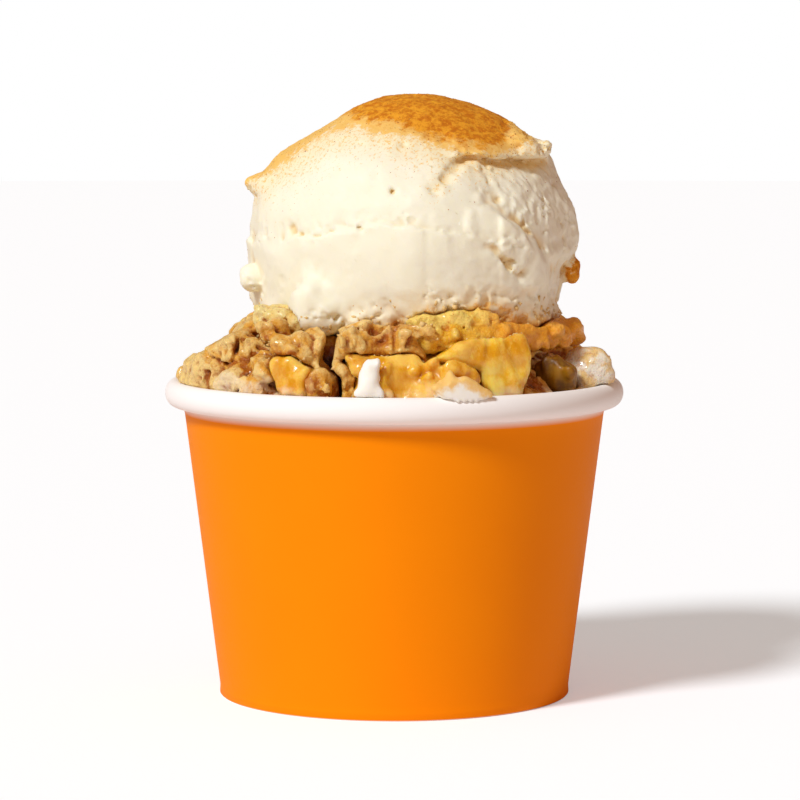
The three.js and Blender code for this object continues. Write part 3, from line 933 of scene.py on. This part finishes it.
def fruit_through(shader, cream):
    """Golden fruit that shows through the upper part of the mound of melted cream."""
    aside = shader.math("ABSOLUTE", shader.math("SUBTRACT", shader.along("X"), MOUND_X * MM))
    height = shader.plus(shader.along("Z"), aside, 0.5)
    height = shader.plus(height, shader.noise(2.0, 4, 0.6), 5 * MM)
    return shader.coat(cream, (242, 198, 116), height, (MOUND_GOLD + 1.4) * MM, (MOUND_GOLD + 3.8) * MM)


def dusted(shader, cream, rough):
    """Colour and roughness of the scoop with crumbs on its foot and cinnamon on its cap."""
    foot = shader.plus(shader.mark("foot"), shader.noise(2.4, 4, 0.7), -8.0)
    crumbs = shader.coat((246, 210, 134), (228, 170, 74), shader.noise(1.6), 0.4, 0.6)
    cream = shader.coat(cream, (238, 210, 158), foot, -6.0, 2.0, 0.8, 0.0)
    cream = shader.coat(cream, crumbs, foot, -4.6, -3.2, 0.9, 0.0)
    height = shader.mark("dust")
    cover = shader.spread(shader.plus(height, shader.noise(1.6, 4, 0.8), 7.0), 3.3, 4.8)
    specks = shader.plus(shader.noise(0.7, 3, 0.8), shader.spread(height, -11, -0.5, 0.0, 0.16))
    cover = shader.math("MAXIMUM", cover, shader.spread(specks, 0.68, 0.76, 0.0, 0.75))
    dense = shader.plus(shader.mark("brown"), shader.noise(2.2, 4, 0.75), 8.0)
    gold = shader.mixed(shader.noise(1.0, rough=0.7), (248, 212, 130), (236, 176, 66))
    brown = shader.coat((238, 164, 34), (200, 114, 0), shader.noise(1.6, 5, 0.8), 0.4, 0.6)
    cream = shader.coat(cream, (248, 226, 170), height, -6, 0, 0.0, 0.5)
    cream = shader.mixed(cover, cream, shader.coat(gold, brown, dense, 3.4, 5.4))
    return cream, shader.mixed(cover, rough, (0.8, 0.8, 0.8, 1))


def ice_cream_material(name, light, dull, finish=None):
    """Vanilla ice cream from a light and a dull colour, with painted shade in its hollows, a darker yellow.
    """
    shader = Shader(name)
    cream = shader.mixed(shader.noise(6), light, dull)
    # Painted shade: the hollows turn a darker yellow
    cream = shader.coat(cream, (236, 212, 160), shader.mark("hollow"), 0.05, 0.8)
    rough = shader.spread(shader.noise(0.5, rough=0.7), 0.3, 0.7, 0.48, 0.68)
    if finish is dusted:
        cream, rough = dusted(shader, cream, rough)
    elif finish:
        cream = finish(shader, cream)
    shader.set(
        Base_Color=cream,
        Roughness=rough,
        Subsurface_Weight=0.3,
        Subsurface_Radius=(1.0, 0.9, 0.6),
        Subsurface_Scale=1.6 * MM,
        Specular_IOR_Level=0.3,
        Coat_Weight=0.04,
        Coat_Roughness=0.4,
    )
    shader.bump(shader.noise(0.5, rough=0.7), 0.1, 0.4)
    return shader.material


# Scoop

def scatter_bits(name, points, normals, sizes, sides, material, seed):
    """Small angular bits resting on given points, as one mesh."""
    rng = np.random.default_rng(seed)
    corners = np.array([(1, 0, 0), (-1, 0, 0), (0, 1, 0), (0, -1, 0), (0, 0, 1), (0, 0, -1)], float)
    eight = np.array([
        (0, 2, 4), (2, 1, 4), (1, 3, 4), (3, 0, 4), (2, 0, 5), (1, 2, 5), (3, 1, 5), (0, 3, 5),
    ])
    bits = []
    for point, normal in zip(points, normals):
        size = rng.uniform(*sizes)
        shape = corners * rng.uniform(*sides, size=(6, 1)) * size
        bits.append(point + normal * size * 0.45 + shape @ random_turn(rng))
    faces = (np.arange(len(points))[:, None, None] * 6 + eight).reshape(-1, 3)
    tint = np.repeat(rng.uniform(-1, 1, len(points)), 6)
    flat = np.zeros(len(tint))
    new_piece(name, np.concatenate(bits), faces, material, "crumble", tint=tint, hollow=flat, cream=flat)


def scatter_grains(points, faces):
    """Cinnamon grains: many on the cap, fewer below its edge."""
    rng = np.random.default_rng(GRAIN_SEED)
    normals = vertex_normals(points, faces)
    height = dust_height(points)
    chance = 0.02 * ramp(height, -16, -2) + 0.1 * ramp(height, -2.5, 1)
    chosen = np.nonzero((rng.random(len(points)) < chance) & (points[:, 2] > GRAINS_LOW))[0]
    shader = Shader("cinnamon")
    brown = shader.coat((176, 92, 10), (236, 164, 60), shader.mark("tint"), -1, 1)
    shader.set(Base_Color=shader.mixed(shader.noise(0.3), brown, (150, 76, 10)), Roughness=0.8)
    scatter_bits(
        "cinnamon_grains", points[chosen], normals[chosen], GRAIN_SIZES, GRAIN_SIDES, shader.material,
        GRAIN_SEED,
    )


def scatter_lumps(
    field, count, sizes, keep_clear, seed, blend,
    low=BED_LOW, high=math.inf, facing=-0.1, rough=0.3, allowed=None,
):
    """Fuses lumps onto the open surface of a field between two heights and tints each one."""
    rng = np.random.default_rng(seed)
    points, faces = field.surface()
    normals = vertex_normals(points, faces)
    open_top = (points[:, 2] > low) & (points[:, 2] < high) & (normals[:, 2] > facing)
    for other, gap in keep_clear:
        open_top &= other.at(points) > gap
    if allowed:
        open_top &= allowed(points)
    for number, spot in enumerate(rng.permutation(np.nonzero(open_top)[0])[:count]):
        size = sizes[0] + (sizes[1] - sizes[0]) * rng.random() ** 1.8
        half = size * np.array([1.0, rng.uniform(0.7, 1), rng.uniform(0.55, 0.85)])
        centre = points[spot] + normals[spot] * size * rng.uniform(-0.1, 0.35)
        field.add_lump(centre, half, random_turn(rng), blend, rough, seed + number, rng.uniform(-1, 1))


def make_scoop(others):
    """The scoop: folds, lumps and tears on its solid, kept off the pieces that it rests on."""
    field = Field("ice_cream_scoop", SCOOP_VOXEL)
    field.values = field.blurred(SCOOP_ROUNDING)
    smoother = field.blurred(SMOOTH_ROUNDING) - field.values
    field.values += between(field.heights(), *SMOOTH_HEIGHTS, 3) * smoother
    points, index = field.near(SCOOP_BAND)
    calm = 1 - 0.85 * ramp(points[:, 2], SCOOP_TOP - 7, SCOOP_TOP - 1)
    calm *= ramp(others[0].at(points), 0.5, 4)
    field.values[index] -= scoop_relief(points) * calm
    for centre, half, blend in SCOOP_LUMPS:
        field.add_lump(centre, half, UPRIGHT, blend, 0.2, LUMP_SEED, 0.0)
    scatter_lumps(
        field, FOOT_LUMPS, FOOT_LUMP_SIZES, [(other, FOOT_LUMPS_CLEAR) for other in others], LUMP_SEED, 0.6,
        low=FOOT_LOW, high=FOOT_LUMPS_HIGH, facing=-0.9,
        allowed=lambda points: (points[:, 0] < 28) & (above_crumbs(points) < 2) & (on_tongue(points) < 0.5),
    )
    field.push_out(TEAR_BAND, scoop_tears)
    for other in others:
        field.keep_off(other, PIECE_GAP)
    field.values = np.maximum(field.values, field.heights() - SCOOP_TOP)
    points, faces = largest_part(*field.surface(SCOOP_MERGING))
    material = ice_cream_material("ice_cream", (248, 246, 226), (245, 240, 212), dusted)
    new_piece(
        "vanilla_scoop", points, faces, material, "ice_cream", ["ice_cream_scoop"],
        # How sunk the scoop is, which its material paints with shade
        hollow=-field.at(points, field.blurred(SCOOP_HOLLOW_RADIUS)),
        foot=above_crumbs(points) + 12 * on_tongue(points),
        dust=dust_height(points),
        brown=np.maximum(above_line(points, BROWN_EDGE, 0.8, 95), in_bead(points)),
    )
    scatter_grains(points, faces)
    return field, points, faces


# Surface of the cobbler

def apple_relief(points):
    """Slow waves and upright fibres of cooked apple."""
    fibres = waves(points * np.array([1.0, 1.0, 0.3]), 1.6, 102)
    return 0.6 * waves(points, 5, 101) + 0.3 * fibres + 0.3 * waves(points, 2.6, 103)


def wedge_relief(points):
    """Flesh of the front wedge, ribbed like a fan from its upper end."""
    x, y, z = points.T
    across = np.arctan2(x - FAN_TOP[0], FAN_TOP[1] - z)
    ribs = waves(np.stack([across * 11, z / 9, y / 9], axis=1), 1.0, 104)
    return 0.5 * waves(points, 5.5, 105) + 0.22 * ribs + 0.2 * waves(points, 2.2, 106)


def crumb_relief(points):
    """Moist crumbly surface: puffed bumps with sharp valleys, small crumbs and pores."""
    pores = cell_distance(points + 0.7 * waves(points, 2, 133)[:, None], 2.1, 131)
    puffs = 1.6 * np.abs(waves(points, 4.2, 134)) ** 0.8 - 1
    bumps = 0.3 * puffs + 0.3 * waves(points, 2.4, 135) + 0.36 * waves(points, 1.2, 136)
    return bumps + 0.3 * waves(points, 5, 113) - 0.4 * ramp(0.4 - pores, 0, 0.3) + 0.25


def pastry_relief(points):
    """Glazed pastry: broad swellings, crumbly at the near end and smoother at the far end."""
    near_end = 1 - ramp(points[:, 0] + 3 * waves(points, 6, 118), 14, 25)
    broad = 0.1 + 0.3 * waves(points, 7, 115) + 0.25 * waves(points, 3.2, 116)
    return broad + 0.7 * near_end * crumb_relief(points) + 0.16 * waves(points, 1.4, 117)


def cream_relief(points):
    """Soft bumps of melted cream."""
    return 0.5 * waves(points, 3.2, 121) + 0.25 * waves(points, 1.5, 122)


def cream_share(points):
    """How far melted cream covers the crumble near the rim, from 0 to 1."""
    angle = np.degrees(np.arctan2(points[:, 0], -points[:, 1])) + 7 * waves(points, 7, 181)
    share = np.zeros(len(points))
    for start, end in CREAM_RUNS:
        share = np.maximum(share, between(angle, start, end, 4))
    low = 1 - ramp(points[:, 2] + 2.5 * waves(points, 4, 182), 67.5, 71.5)
    return share * low * ramp(radii(points), 36, 41)


def wedge_painted_shade(points):
    """Painted shade: darker flesh along the right edge of the front wedge, its side away from the key light.
    """
    return {"hollow": 0.4 * ramp(points[:, 0] + waves(points, 3, 107), 24.3, 26.6)}


def slab_painted_shade(points):
    """Painted shade: darker amber at the right end of the front slab, next to the wedge."""
    return {"hollow": 0.45 * between(points[:, 0] + 1.5 * waves(points, 3, 108), 12.4, 18, 0.8)}


def bed_marks(points):
    """Marks added on the crumble: cream, tint, and painted shade and syrup colour at the dark spots."""
    depth = np.zeros(len(points))
    # Painted shade and syrup colour: the dark spots raise the hollow mark
    for centre, radius, deep in SHADE_AND_SYRUP_SPOTS:
        depth += deep * bell(np.linalg.norm(points - centre, axis=1), radius)
    soaked = ramp(waves(points, 8, 153) + 0.5 * waves(points, 3, 154), -0.1, 0.6)
    bright = 1.0 * (1 - ramp(points[:, 0], -34, -26)) * ramp(-points[:, 1], 0, 10)
    return {"cream": cream_share(points), "hollow": depth, "tint": 0.45 - 1.0 * soaked + bright}


def apple_flesh(name, pale, deep, shade, gloss=0.4, cream=0.6):
    """Wet cooked apple, mottled from pale through yellow to amber, with painted light on its convex edges,
    painted shade in its hollows and a film of cream low down.
    """
    shader = Shader(name)
    stretch = (1, 1, 0.7)
    flesh = shader.coat(pale, deep, shader.noise(3.5, 4, 0.6), 0.38, 0.62)
    flesh = shader.coat(flesh, shade, shader.noise(9, 2), 0.42, 0.7, 0.0, 0.7)
    flesh = shader.coat(flesh, pale, shader.noise(1.3, 4, 0.7, stretch), 0.48, 0.66, 0.0, 0.45)
    hollow = shader.mark("hollow")
    # Painted light: convex edges turn pale
    flesh = shader.coat(flesh, pale, hollow, -0.8, -0.35, 0.5, 0.0)
    # Painted shade: the hollows turn to the shade colour
    flesh = shader.coat(flesh, shade, hollow, 0.0, 0.45)
    level = shader.plus(shader.along("Z"), shader.noise(4), 9 * MM)
    shader.set(
        Base_Color=shader.coat(flesh, (250, 226, 190), level, 69.5 * MM, 72.5 * MM, cream, 0.0),
        Roughness=shader.spread(shader.noise(1.2), 0.3, 0.7, 0.5 - gloss, 0.7 - gloss),
        Specular_IOR_Level=0.35,
        Subsurface_Weight=0.5,
        Subsurface_Radius=(1.0, 0.5, 0.1),
        Subsurface_Scale=2.2 * MM,
        Coat_Weight=gloss,
        Coat_Roughness=0.08,
    )
    shader.bump(shader.noise(1.2, 4, 0.6, stretch), 0.3, 0.6)
    return shader.material


def baked(name, pale, golden, brown, shade, gloss=0.3, glaze=(180, 98, 8)):
    """Baked batter or crumble, browned by its tint, with painted light on its ridges, and syrup colour that
    is partly painted shade and painted shade deepest in its hollows.
    """
    shader = Shader(name)
    tint = shader.plus(shader.mark("tint"), shader.noise(2.4, 4, 0.7), 3.2)
    crust = shader.coat(brown, shader.coat(golden, pale, tint, 1.5, 2.5), tint, 0.4, 1.3)
    raw = shader.mark("hollow")
    # Painted light: convex ridges turn pale
    crust = shader.coat(crust, pale, raw, -0.55, -0.15, 0.6, 0.0)
    hollow = shader.plus(raw, shader.noise(1.4, 4, 0.65), 0.5)
    # Syrup colour in the shallow hollows, partly painted shade, and painted shade in the deep ones
    syrup = shader.spread(hollow, 0.18, 0.42)
    crust = shader.mixed(syrup, crust, glaze)
    crust = shader.coat(crust, shade, hollow, 0.45, 0.85)
    flecks = shader.noise(0.8, 3, 0.75)
    crust = shader.coat(crust, pale, flecks, 0.54, 0.68, 0.0, 0.55)
    crust = shader.coat(crust, glaze, flecks, 0.32, 0.45, 0.6, 0.0)
    wet = shader.spread(shader.noise(3.0, 3, 0.6), 0.4, 0.6, 0.6, 0.26)
    shader.set(
        Base_Color=crust,
        Roughness=shader.plus(wet, syrup, -0.12),
        Specular_IOR_Level=0.35,
        Subsurface_Weight=0.15,
        Subsurface_Radius=(1.0, 0.55, 0.2),
        Subsurface_Scale=1.2 * MM,
        Coat_Weight=gloss,
        Coat_Roughness=0.12,
    )
    shader.bump(shader.noise(0.9, 4, 0.7), 0.7, 1.0)
    return shader, crust


def batter_material():
    shader, _ = baked(
        "batter", (255, 234, 164), (250, 218, 128), (238, 186, 84), (186, 116, 36), gloss=0.25,
    )
    return shader.material


def strip_material():
    """Glazed pastry, golden at its front end and browner towards its far end."""
    shader, crust = baked(
        "pastry", (255, 220, 112), (248, 192, 46), (238, 162, 14), (170, 88, 0),
        gloss=0.45, glaze=(212, 128, 8),
    )
    far = shader.plus(shader.along("X"), shader.noise(5), 10 * MM)
    shader.set(Base_Color=shader.coat(crust, (250, 154, 0), far, 20 * MM, 28 * MM, 0.0, 0.7))
    return shader.material


def creamed_material():
    """Fruit half covered by melted cream."""
    shader, crust = baked(
        "creamed_apple", (244, 202, 116), (238, 194, 104), (214, 152, 62), (170, 110, 44), gloss=0.4,
    )
    cover = shader.noise(4.5, 4, 0.65)
    shader.set(Base_Color=shader.coat(crust, (255, 246, 226), cover, 0.42, 0.58, 0.15, 0.95))
    return shader.material


def crumble_material():
    """Baked crumble with a film of melted cream near the rim."""
    shader, crust = baked("crumble", (250, 214, 134), (234, 170, 54), (190, 104, 8), (84, 28, 0), gloss=0.35)
    level = shader.plus(shader.mark("cream"), shader.noise(1.8, 4, 0.75))
    level = shader.plus(level, shader.spread(shader.mark("hollow"), 0.1, 0.5), -1.0)
    shader.set(Base_Color=shader.coat(crust, (252, 236, 208), level, 1.2, 1.65, 0.0, 0.6))
    return shader.material


# Cobbler

def finish_piece(
    name, field, neighbours, material, slot, node, extra=None, merging=0.0, soft=SEAM_SOFTNESS,
):
    """Cuts a field back from its neighbours and turns it into a piece."""
    for other in neighbours:
        field.keep_off(other, PIECE_GAP, soft)
    points, faces = largest_part(*field.surface(merging))
    # How sunk the surface is, which the materials paint with shade, less so along seams with neighbours
    hollow = -field.at(points, field.blurred(HOLLOW_RADIUS))
    for other in neighbours:
        hollow *= 0.4 + 0.6 * ramp(other.at(points), 0.4, 1.6)
    marks = {"hollow": hollow, "tint": field.at(points, field.tints), "cream": np.zeros(len(points))}
    if extra:
        for mark, values in extra(points).items():
            marks[mark] = marks[mark] + values
    new_piece(name, points, faces, material, slot, [node], **marks)
    return field, points, faces


def bank_up(field, scoop):
    """Heaps the crumble against the foot of the scoop, except under the tongue of cream."""
    points, index = field.near(WHOLE_FIELD)
    close = scoop.at(points) - BANK_WIDE - 0.8 * waves(points, 5, 201)
    high = points[:, 2] - BANK_TOP - 0.9 * waves(points, 4, 202)
    high += 3 * on_tongue(points) + 8 * ramp(points[:, 0], 24, 30)
    field.fuse(index, np.maximum(close, high))


def make_filling():
    """Plain filling hidden under the crumble, down to the base of the cup."""
    edge = PAPER + 2 * HEM_PLAY + 0.2
    low, high = BASE_TOP + 0.4, BED_CUT - 0.3
    outline = [(PINHOLE, low), (wall_radius(BASE_TOP, edge), low)]
    outline += [(wall_radius(z, edge), z) for z in np.linspace(12, high, 12)] + [(PINHOLE, high)]
    points, faces = turned(np.array(outline), CUP_SEGMENTS // 3)
    new_piece(
        "hidden_filling", points, faces, bpy.data.materials["crumble"], "crumble", ["cobbler_bed"],
        hollow=np.full(len(points), 0.1), tint=0.7 * waves(points, 6, 161), cream=np.zeros(len(points)),
    )


def make_bed(scoop, pieces, cup):
    """Crumble on top of the cup."""
    field = Field("cobbler_bed", BED_VOXEL, BED_CUT, 2)
    field.values = field.blurred(BED_ROUNDING)
    clear = [(scoop, -1.0), (cup, 0.8)]
    for number, (centre, half, tint) in enumerate(LUMPS):
        field.add_lump(centre, half, UPRIGHT, 0.8, 0.3, BED_SEED + number, tint)
    bank_up(field, scoop)
    for number, (count, sizes, blend) in enumerate(BED_LUMPS):
        scatter_lumps(field, count, sizes, clear, BED_SEED + 5000 * number, blend)
    points, index = field.near(RELIEF_BAND)
    valleys = ramp(1 - np.abs(waves(points, 8, 152)), 0.84, 1.0)
    field.values[index] -= crumb_relief(points) - 0.9 * valleys + CREAM_FILM * cream_share(points)
    xs, zs = np.array(LEFT_SLOPE).T
    above = points[:, 2] - np.interp(points[:, 0], xs, zs) + 1.2 * waves(points, 3.5, 203)
    field.cut(index, 0.7 * above)
    ragged = 1.1 * waves(points, 3.2, 204) + 0.5 * waves(points, 1.4, 205)
    field.cut(index, radii(points) + ragged - (BED_REACH - 1.2))
    for path, wide in CREVICES:
        field.carve(path, wide)
    field.keep_off(cup, PIECE_GAP)
    field.within(BED_REACH)
    field.values = np.maximum(field.values, BED_CUT - field.heights())
    return finish_piece(
        "crumble_top", field, [scoop] + pieces, crumble_material(), "crumble", "cobbler_bed", bed_marks,
        BED_MERGING, BED_SEAM_SOFTNESS,
    )


def beside(points, fields):
    """Which points lie along a seam with one of the fields."""
    nearest = np.min([field.at(points) for field in fields], axis=0)
    return (nearest > 0.3) & (nearest < 0.9)


def scatter_crumbs(bed, scoop, pieces):
    """Loose crumbs on the crumble, along the seams, and stuck to the foot of the scoop."""
    rng = np.random.default_rng(BED_SEED)
    spots = []
    for made in [bed, scoop] + pieces:
        _, points, faces = made
        normals = vertex_normals(points, faces)
        outward = (normals[:, :2] * points[:, :2]).sum(axis=1) / radii(points)
        seam = beside(points, [bed[0]] if made in pieces else [piece[0] for piece in pieces])
        if made is bed:
            share = CRUMB_SHARE * (normals[:, 2] > 0.35) * (scoop[0].at(points) > 1.2)
        elif made is scoop:
            height = points[:, 2] + 2 * waves(points, 4, 191)
            share = FOOT_CRUMB_SHARE * (1 - ramp(height, 79, 85)) * (points[:, 2] > FOOT_LOW)
        else:
            share = np.zeros(len(points))
        share = np.where(seam & (outward > 0.3), SEAM_CRUMB_SHARE, share)
        share *= (points[:, 2] > BED_LOW + 4) & (radii(points) < BED_REACH - 1.5)
        chosen = rng.random(len(points)) < share
        spots.append((points[chosen], normals[chosen]))
    points, normals = (np.concatenate(both) for both in zip(*spots))
    crumble = bpy.data.materials["crumble"]
    scatter_bits("loose_crumbs", points, normals, CRUMB_SIZES, CRUMB_SIDES, crumble, BED_SEED)


def make_food(cup):
    """Pieces of apple, pastry and melted cream, then the scoop and the crumble cut back from them."""
    gold = apple_flesh("apple", (248, 204, 94), (230, 166, 16), (206, 126, 0))
    bright = apple_flesh("bright_apple", (255, 222, 108), (244, 188, 30), (220, 142, 0))
    dark = apple_flesh("dark_apple", (150, 104, 16), (104, 64, 6), (44, 22, 0), gloss=0.15, cream=0.0)
    white = ((254, 252, 242), (252, 247, 232))
    cream = ice_cream_material("melted_cream", *white)
    mound = ice_cream_material("melted_mound", *white, fruit_through)
    small = (apple_relief, 5, (0.9, 1.8), 0.8, None)
    # Rows of [piece, node, material, slot, rounding, relief, number, sizes and blend of lumps, extra marks]
    plan = [
        ("glazed_strip", "pastry_strip", strip_material(), "pastry", 0.8,
         pastry_relief, 34, (1.0, 2.3), 0.7, None),
        ("front_wedge", "apple_wedge_front", bright, "apple", 0.5, wedge_relief, 0, None, 0.0, wedge_painted_shade),
        ("front_slab", "apple_slice_front", gold, "apple", 0.6,
         apple_relief, 24, (1.2, 3.0), 0.7, slab_painted_shade),
        ("left_cube", "apple_piece_left", gold, "apple", 0.5) + small,
        ("dark_slice", "apple_slice_right", dark, "dark_apple", 0.8, apple_relief, 6, (1.0, 2.2), 1.0, None),
        ("back_left_slice", "apple_slice_back_left", gold, "apple", 0.5) + small,
        ("back_slice", "apple_slice_back", gold, "apple", 0.5) + small,
        ("back_right_slice", "apple_slice_back_right", gold, "apple", 0.5) + small,
        ("side_piece", "apple_piece_side", gold, "apple", 0.5) + small,
        ("left_batter", "pastry_chunk_left", batter_material(), "batter", 0.4,
         crumb_relief, 16, (1.2, 2.4), 0.5, None),
        ("creamed_chunk", "apple_chunk_right", creamed_material(), "apple", 0.7,
         cream_relief, 16, (1.2, 2.6), 0.7, None),
        ("cream_drip", "ice_cream_drip", cream, "melted_cream", 0.5, cream_relief, 9, (0.8, 1.5), 0.6, None),
        ("cream_mound", "ice_cream_mound", mound, "melted_cream", 0.8,
         cream_relief, 10, (1.0, 1.8), 1.0, None),
    ]
    fields = []
    crumbed = []
    for number, row in enumerate(plan):
        name, node, material, slot, rounding, relief, lumps, sizes, blend, extra = row
        field = Field(node, PIECE_VOXEL)
        field.values = field.blurred(rounding)
        field.add_facets(FACETS.get(name, []))
        if lumps:
            scatter_lumps(
                field, lumps, sizes, [], LUMP_SEED + 100 * number, blend,
                facing=PIECE_FACING, rough=PIECE_ROUGH,
                allowed=lambda points: radii(points) < LUMP_REACH,
            )
        join, turn, extra_lumps = EXTRA_LUMPS.get(name, (0, UPRIGHT, []))
        for centre, half, tint in extra_lumps:
            field.add_lump(centre, half, turn, join, EXTRA_ROUGH, LUMP_SEED, tint)
        field.push_out(RELIEF_BAND, relief)
        field.keep_off(cup, PIECE_GAP)
        field.within(PIECE_REACH)
        made = finish_piece(name, field, fields, material, slot, node, extra)
        fields.append(field)
        if slot != "melted_cream":
            crumbed.append(made)
    scoop = make_scoop(fields)
    bed = make_bed(scoop[0], fields, cup)
    make_filling()
    scatter_crumbs(bed, scoop, crumbed)


# Stage

def make_stage():
    """Plain pale floor that runs out to the horizon."""
    shader = Shader("floor")
    ray = shader.node("ShaderNodeLightPath")
    shader.set(
        Base_Color=FLOOR_COLOUR,
        Roughness=0.9,
        Emission_Color=FLOOR_GLOW,
        Emission_Strength=ray.outputs["Is Camera Ray"],
    )
    outline = np.array([(PINHOLE, 0.0), (FLOOR_RADIUS / 10, 0.0), (FLOOR_RADIUS, 0.0)])
    points, faces = turned(outline, FLOOR_SEGMENTS, closed=False)
    floor = add_object("floor", new_mesh("floor", points, faces, shader.material))


def make_light():
    """Soft key light from the left, and a warm fill from all round that the camera sees as white."""
    toward = Vector(KEY_FROM).normalized()
    lamp = bpy.data.lights.new("key", "SUN")
    lamp.energy = KEY_STRENGTH
    lamp.angle = KEY_SOFTNESS
    lamp.color = KEY_COLOUR
    key = add_object("key", lamp)
    key.location = toward
    key.rotation_mode = "QUATERNION"
    key.rotation_quaternion = toward.to_track_quat("Z", "Y")

    world = bpy.data.worlds.new("studio")
    bpy.context.scene.world = world
    world.use_nodes = True
    tree = world.node_tree
    seen = tree.nodes["Background"]
    seen.inputs["Color"].default_value = (1, 1, 1, 1)
    seen.inputs["Strength"].default_value = 1.0
    fill = tree.nodes.new("ShaderNodeBackground")
    fill.inputs["Color"].default_value = FILL_COLOUR
    ray = tree.nodes.new("ShaderNodeLightPath")
    mix = tree.nodes.new("ShaderNodeMixShader")
    for socket, source in zip(mix.inputs, (ray.outputs["Is Camera Ray"], fill.outputs[0], seen.outputs[0])):
        tree.links.new(source, socket)
    tree.links.new(mix.outputs[0], tree.nodes["World Output"].inputs["Surface"])


def make_camera():
    """Camera where the photograph was taken from."""
    data = bpy.data.cameras.new("camera")
    data.sensor_width = SENSOR
    data.lens = FOCAL_PIXELS * SENSOR / IMAGE_PIXELS
    data.clip_end = CAMERA_SIGHT
    camera = add_object("camera", data)
    camera.location = [c * MM for c in CAMERA_AT]
    camera.rotation_euler = (math.pi / 2 - CAMERA_PITCH, 0, 0)
    bpy.context.scene.camera = camera
    bpy.context.scene.view_settings.view_transform = "Standard"


make_camera()
make_stage()
make_light()
make_cup()
make_cup_base()
make_food(Field("cup_wall", BED_VOXEL))
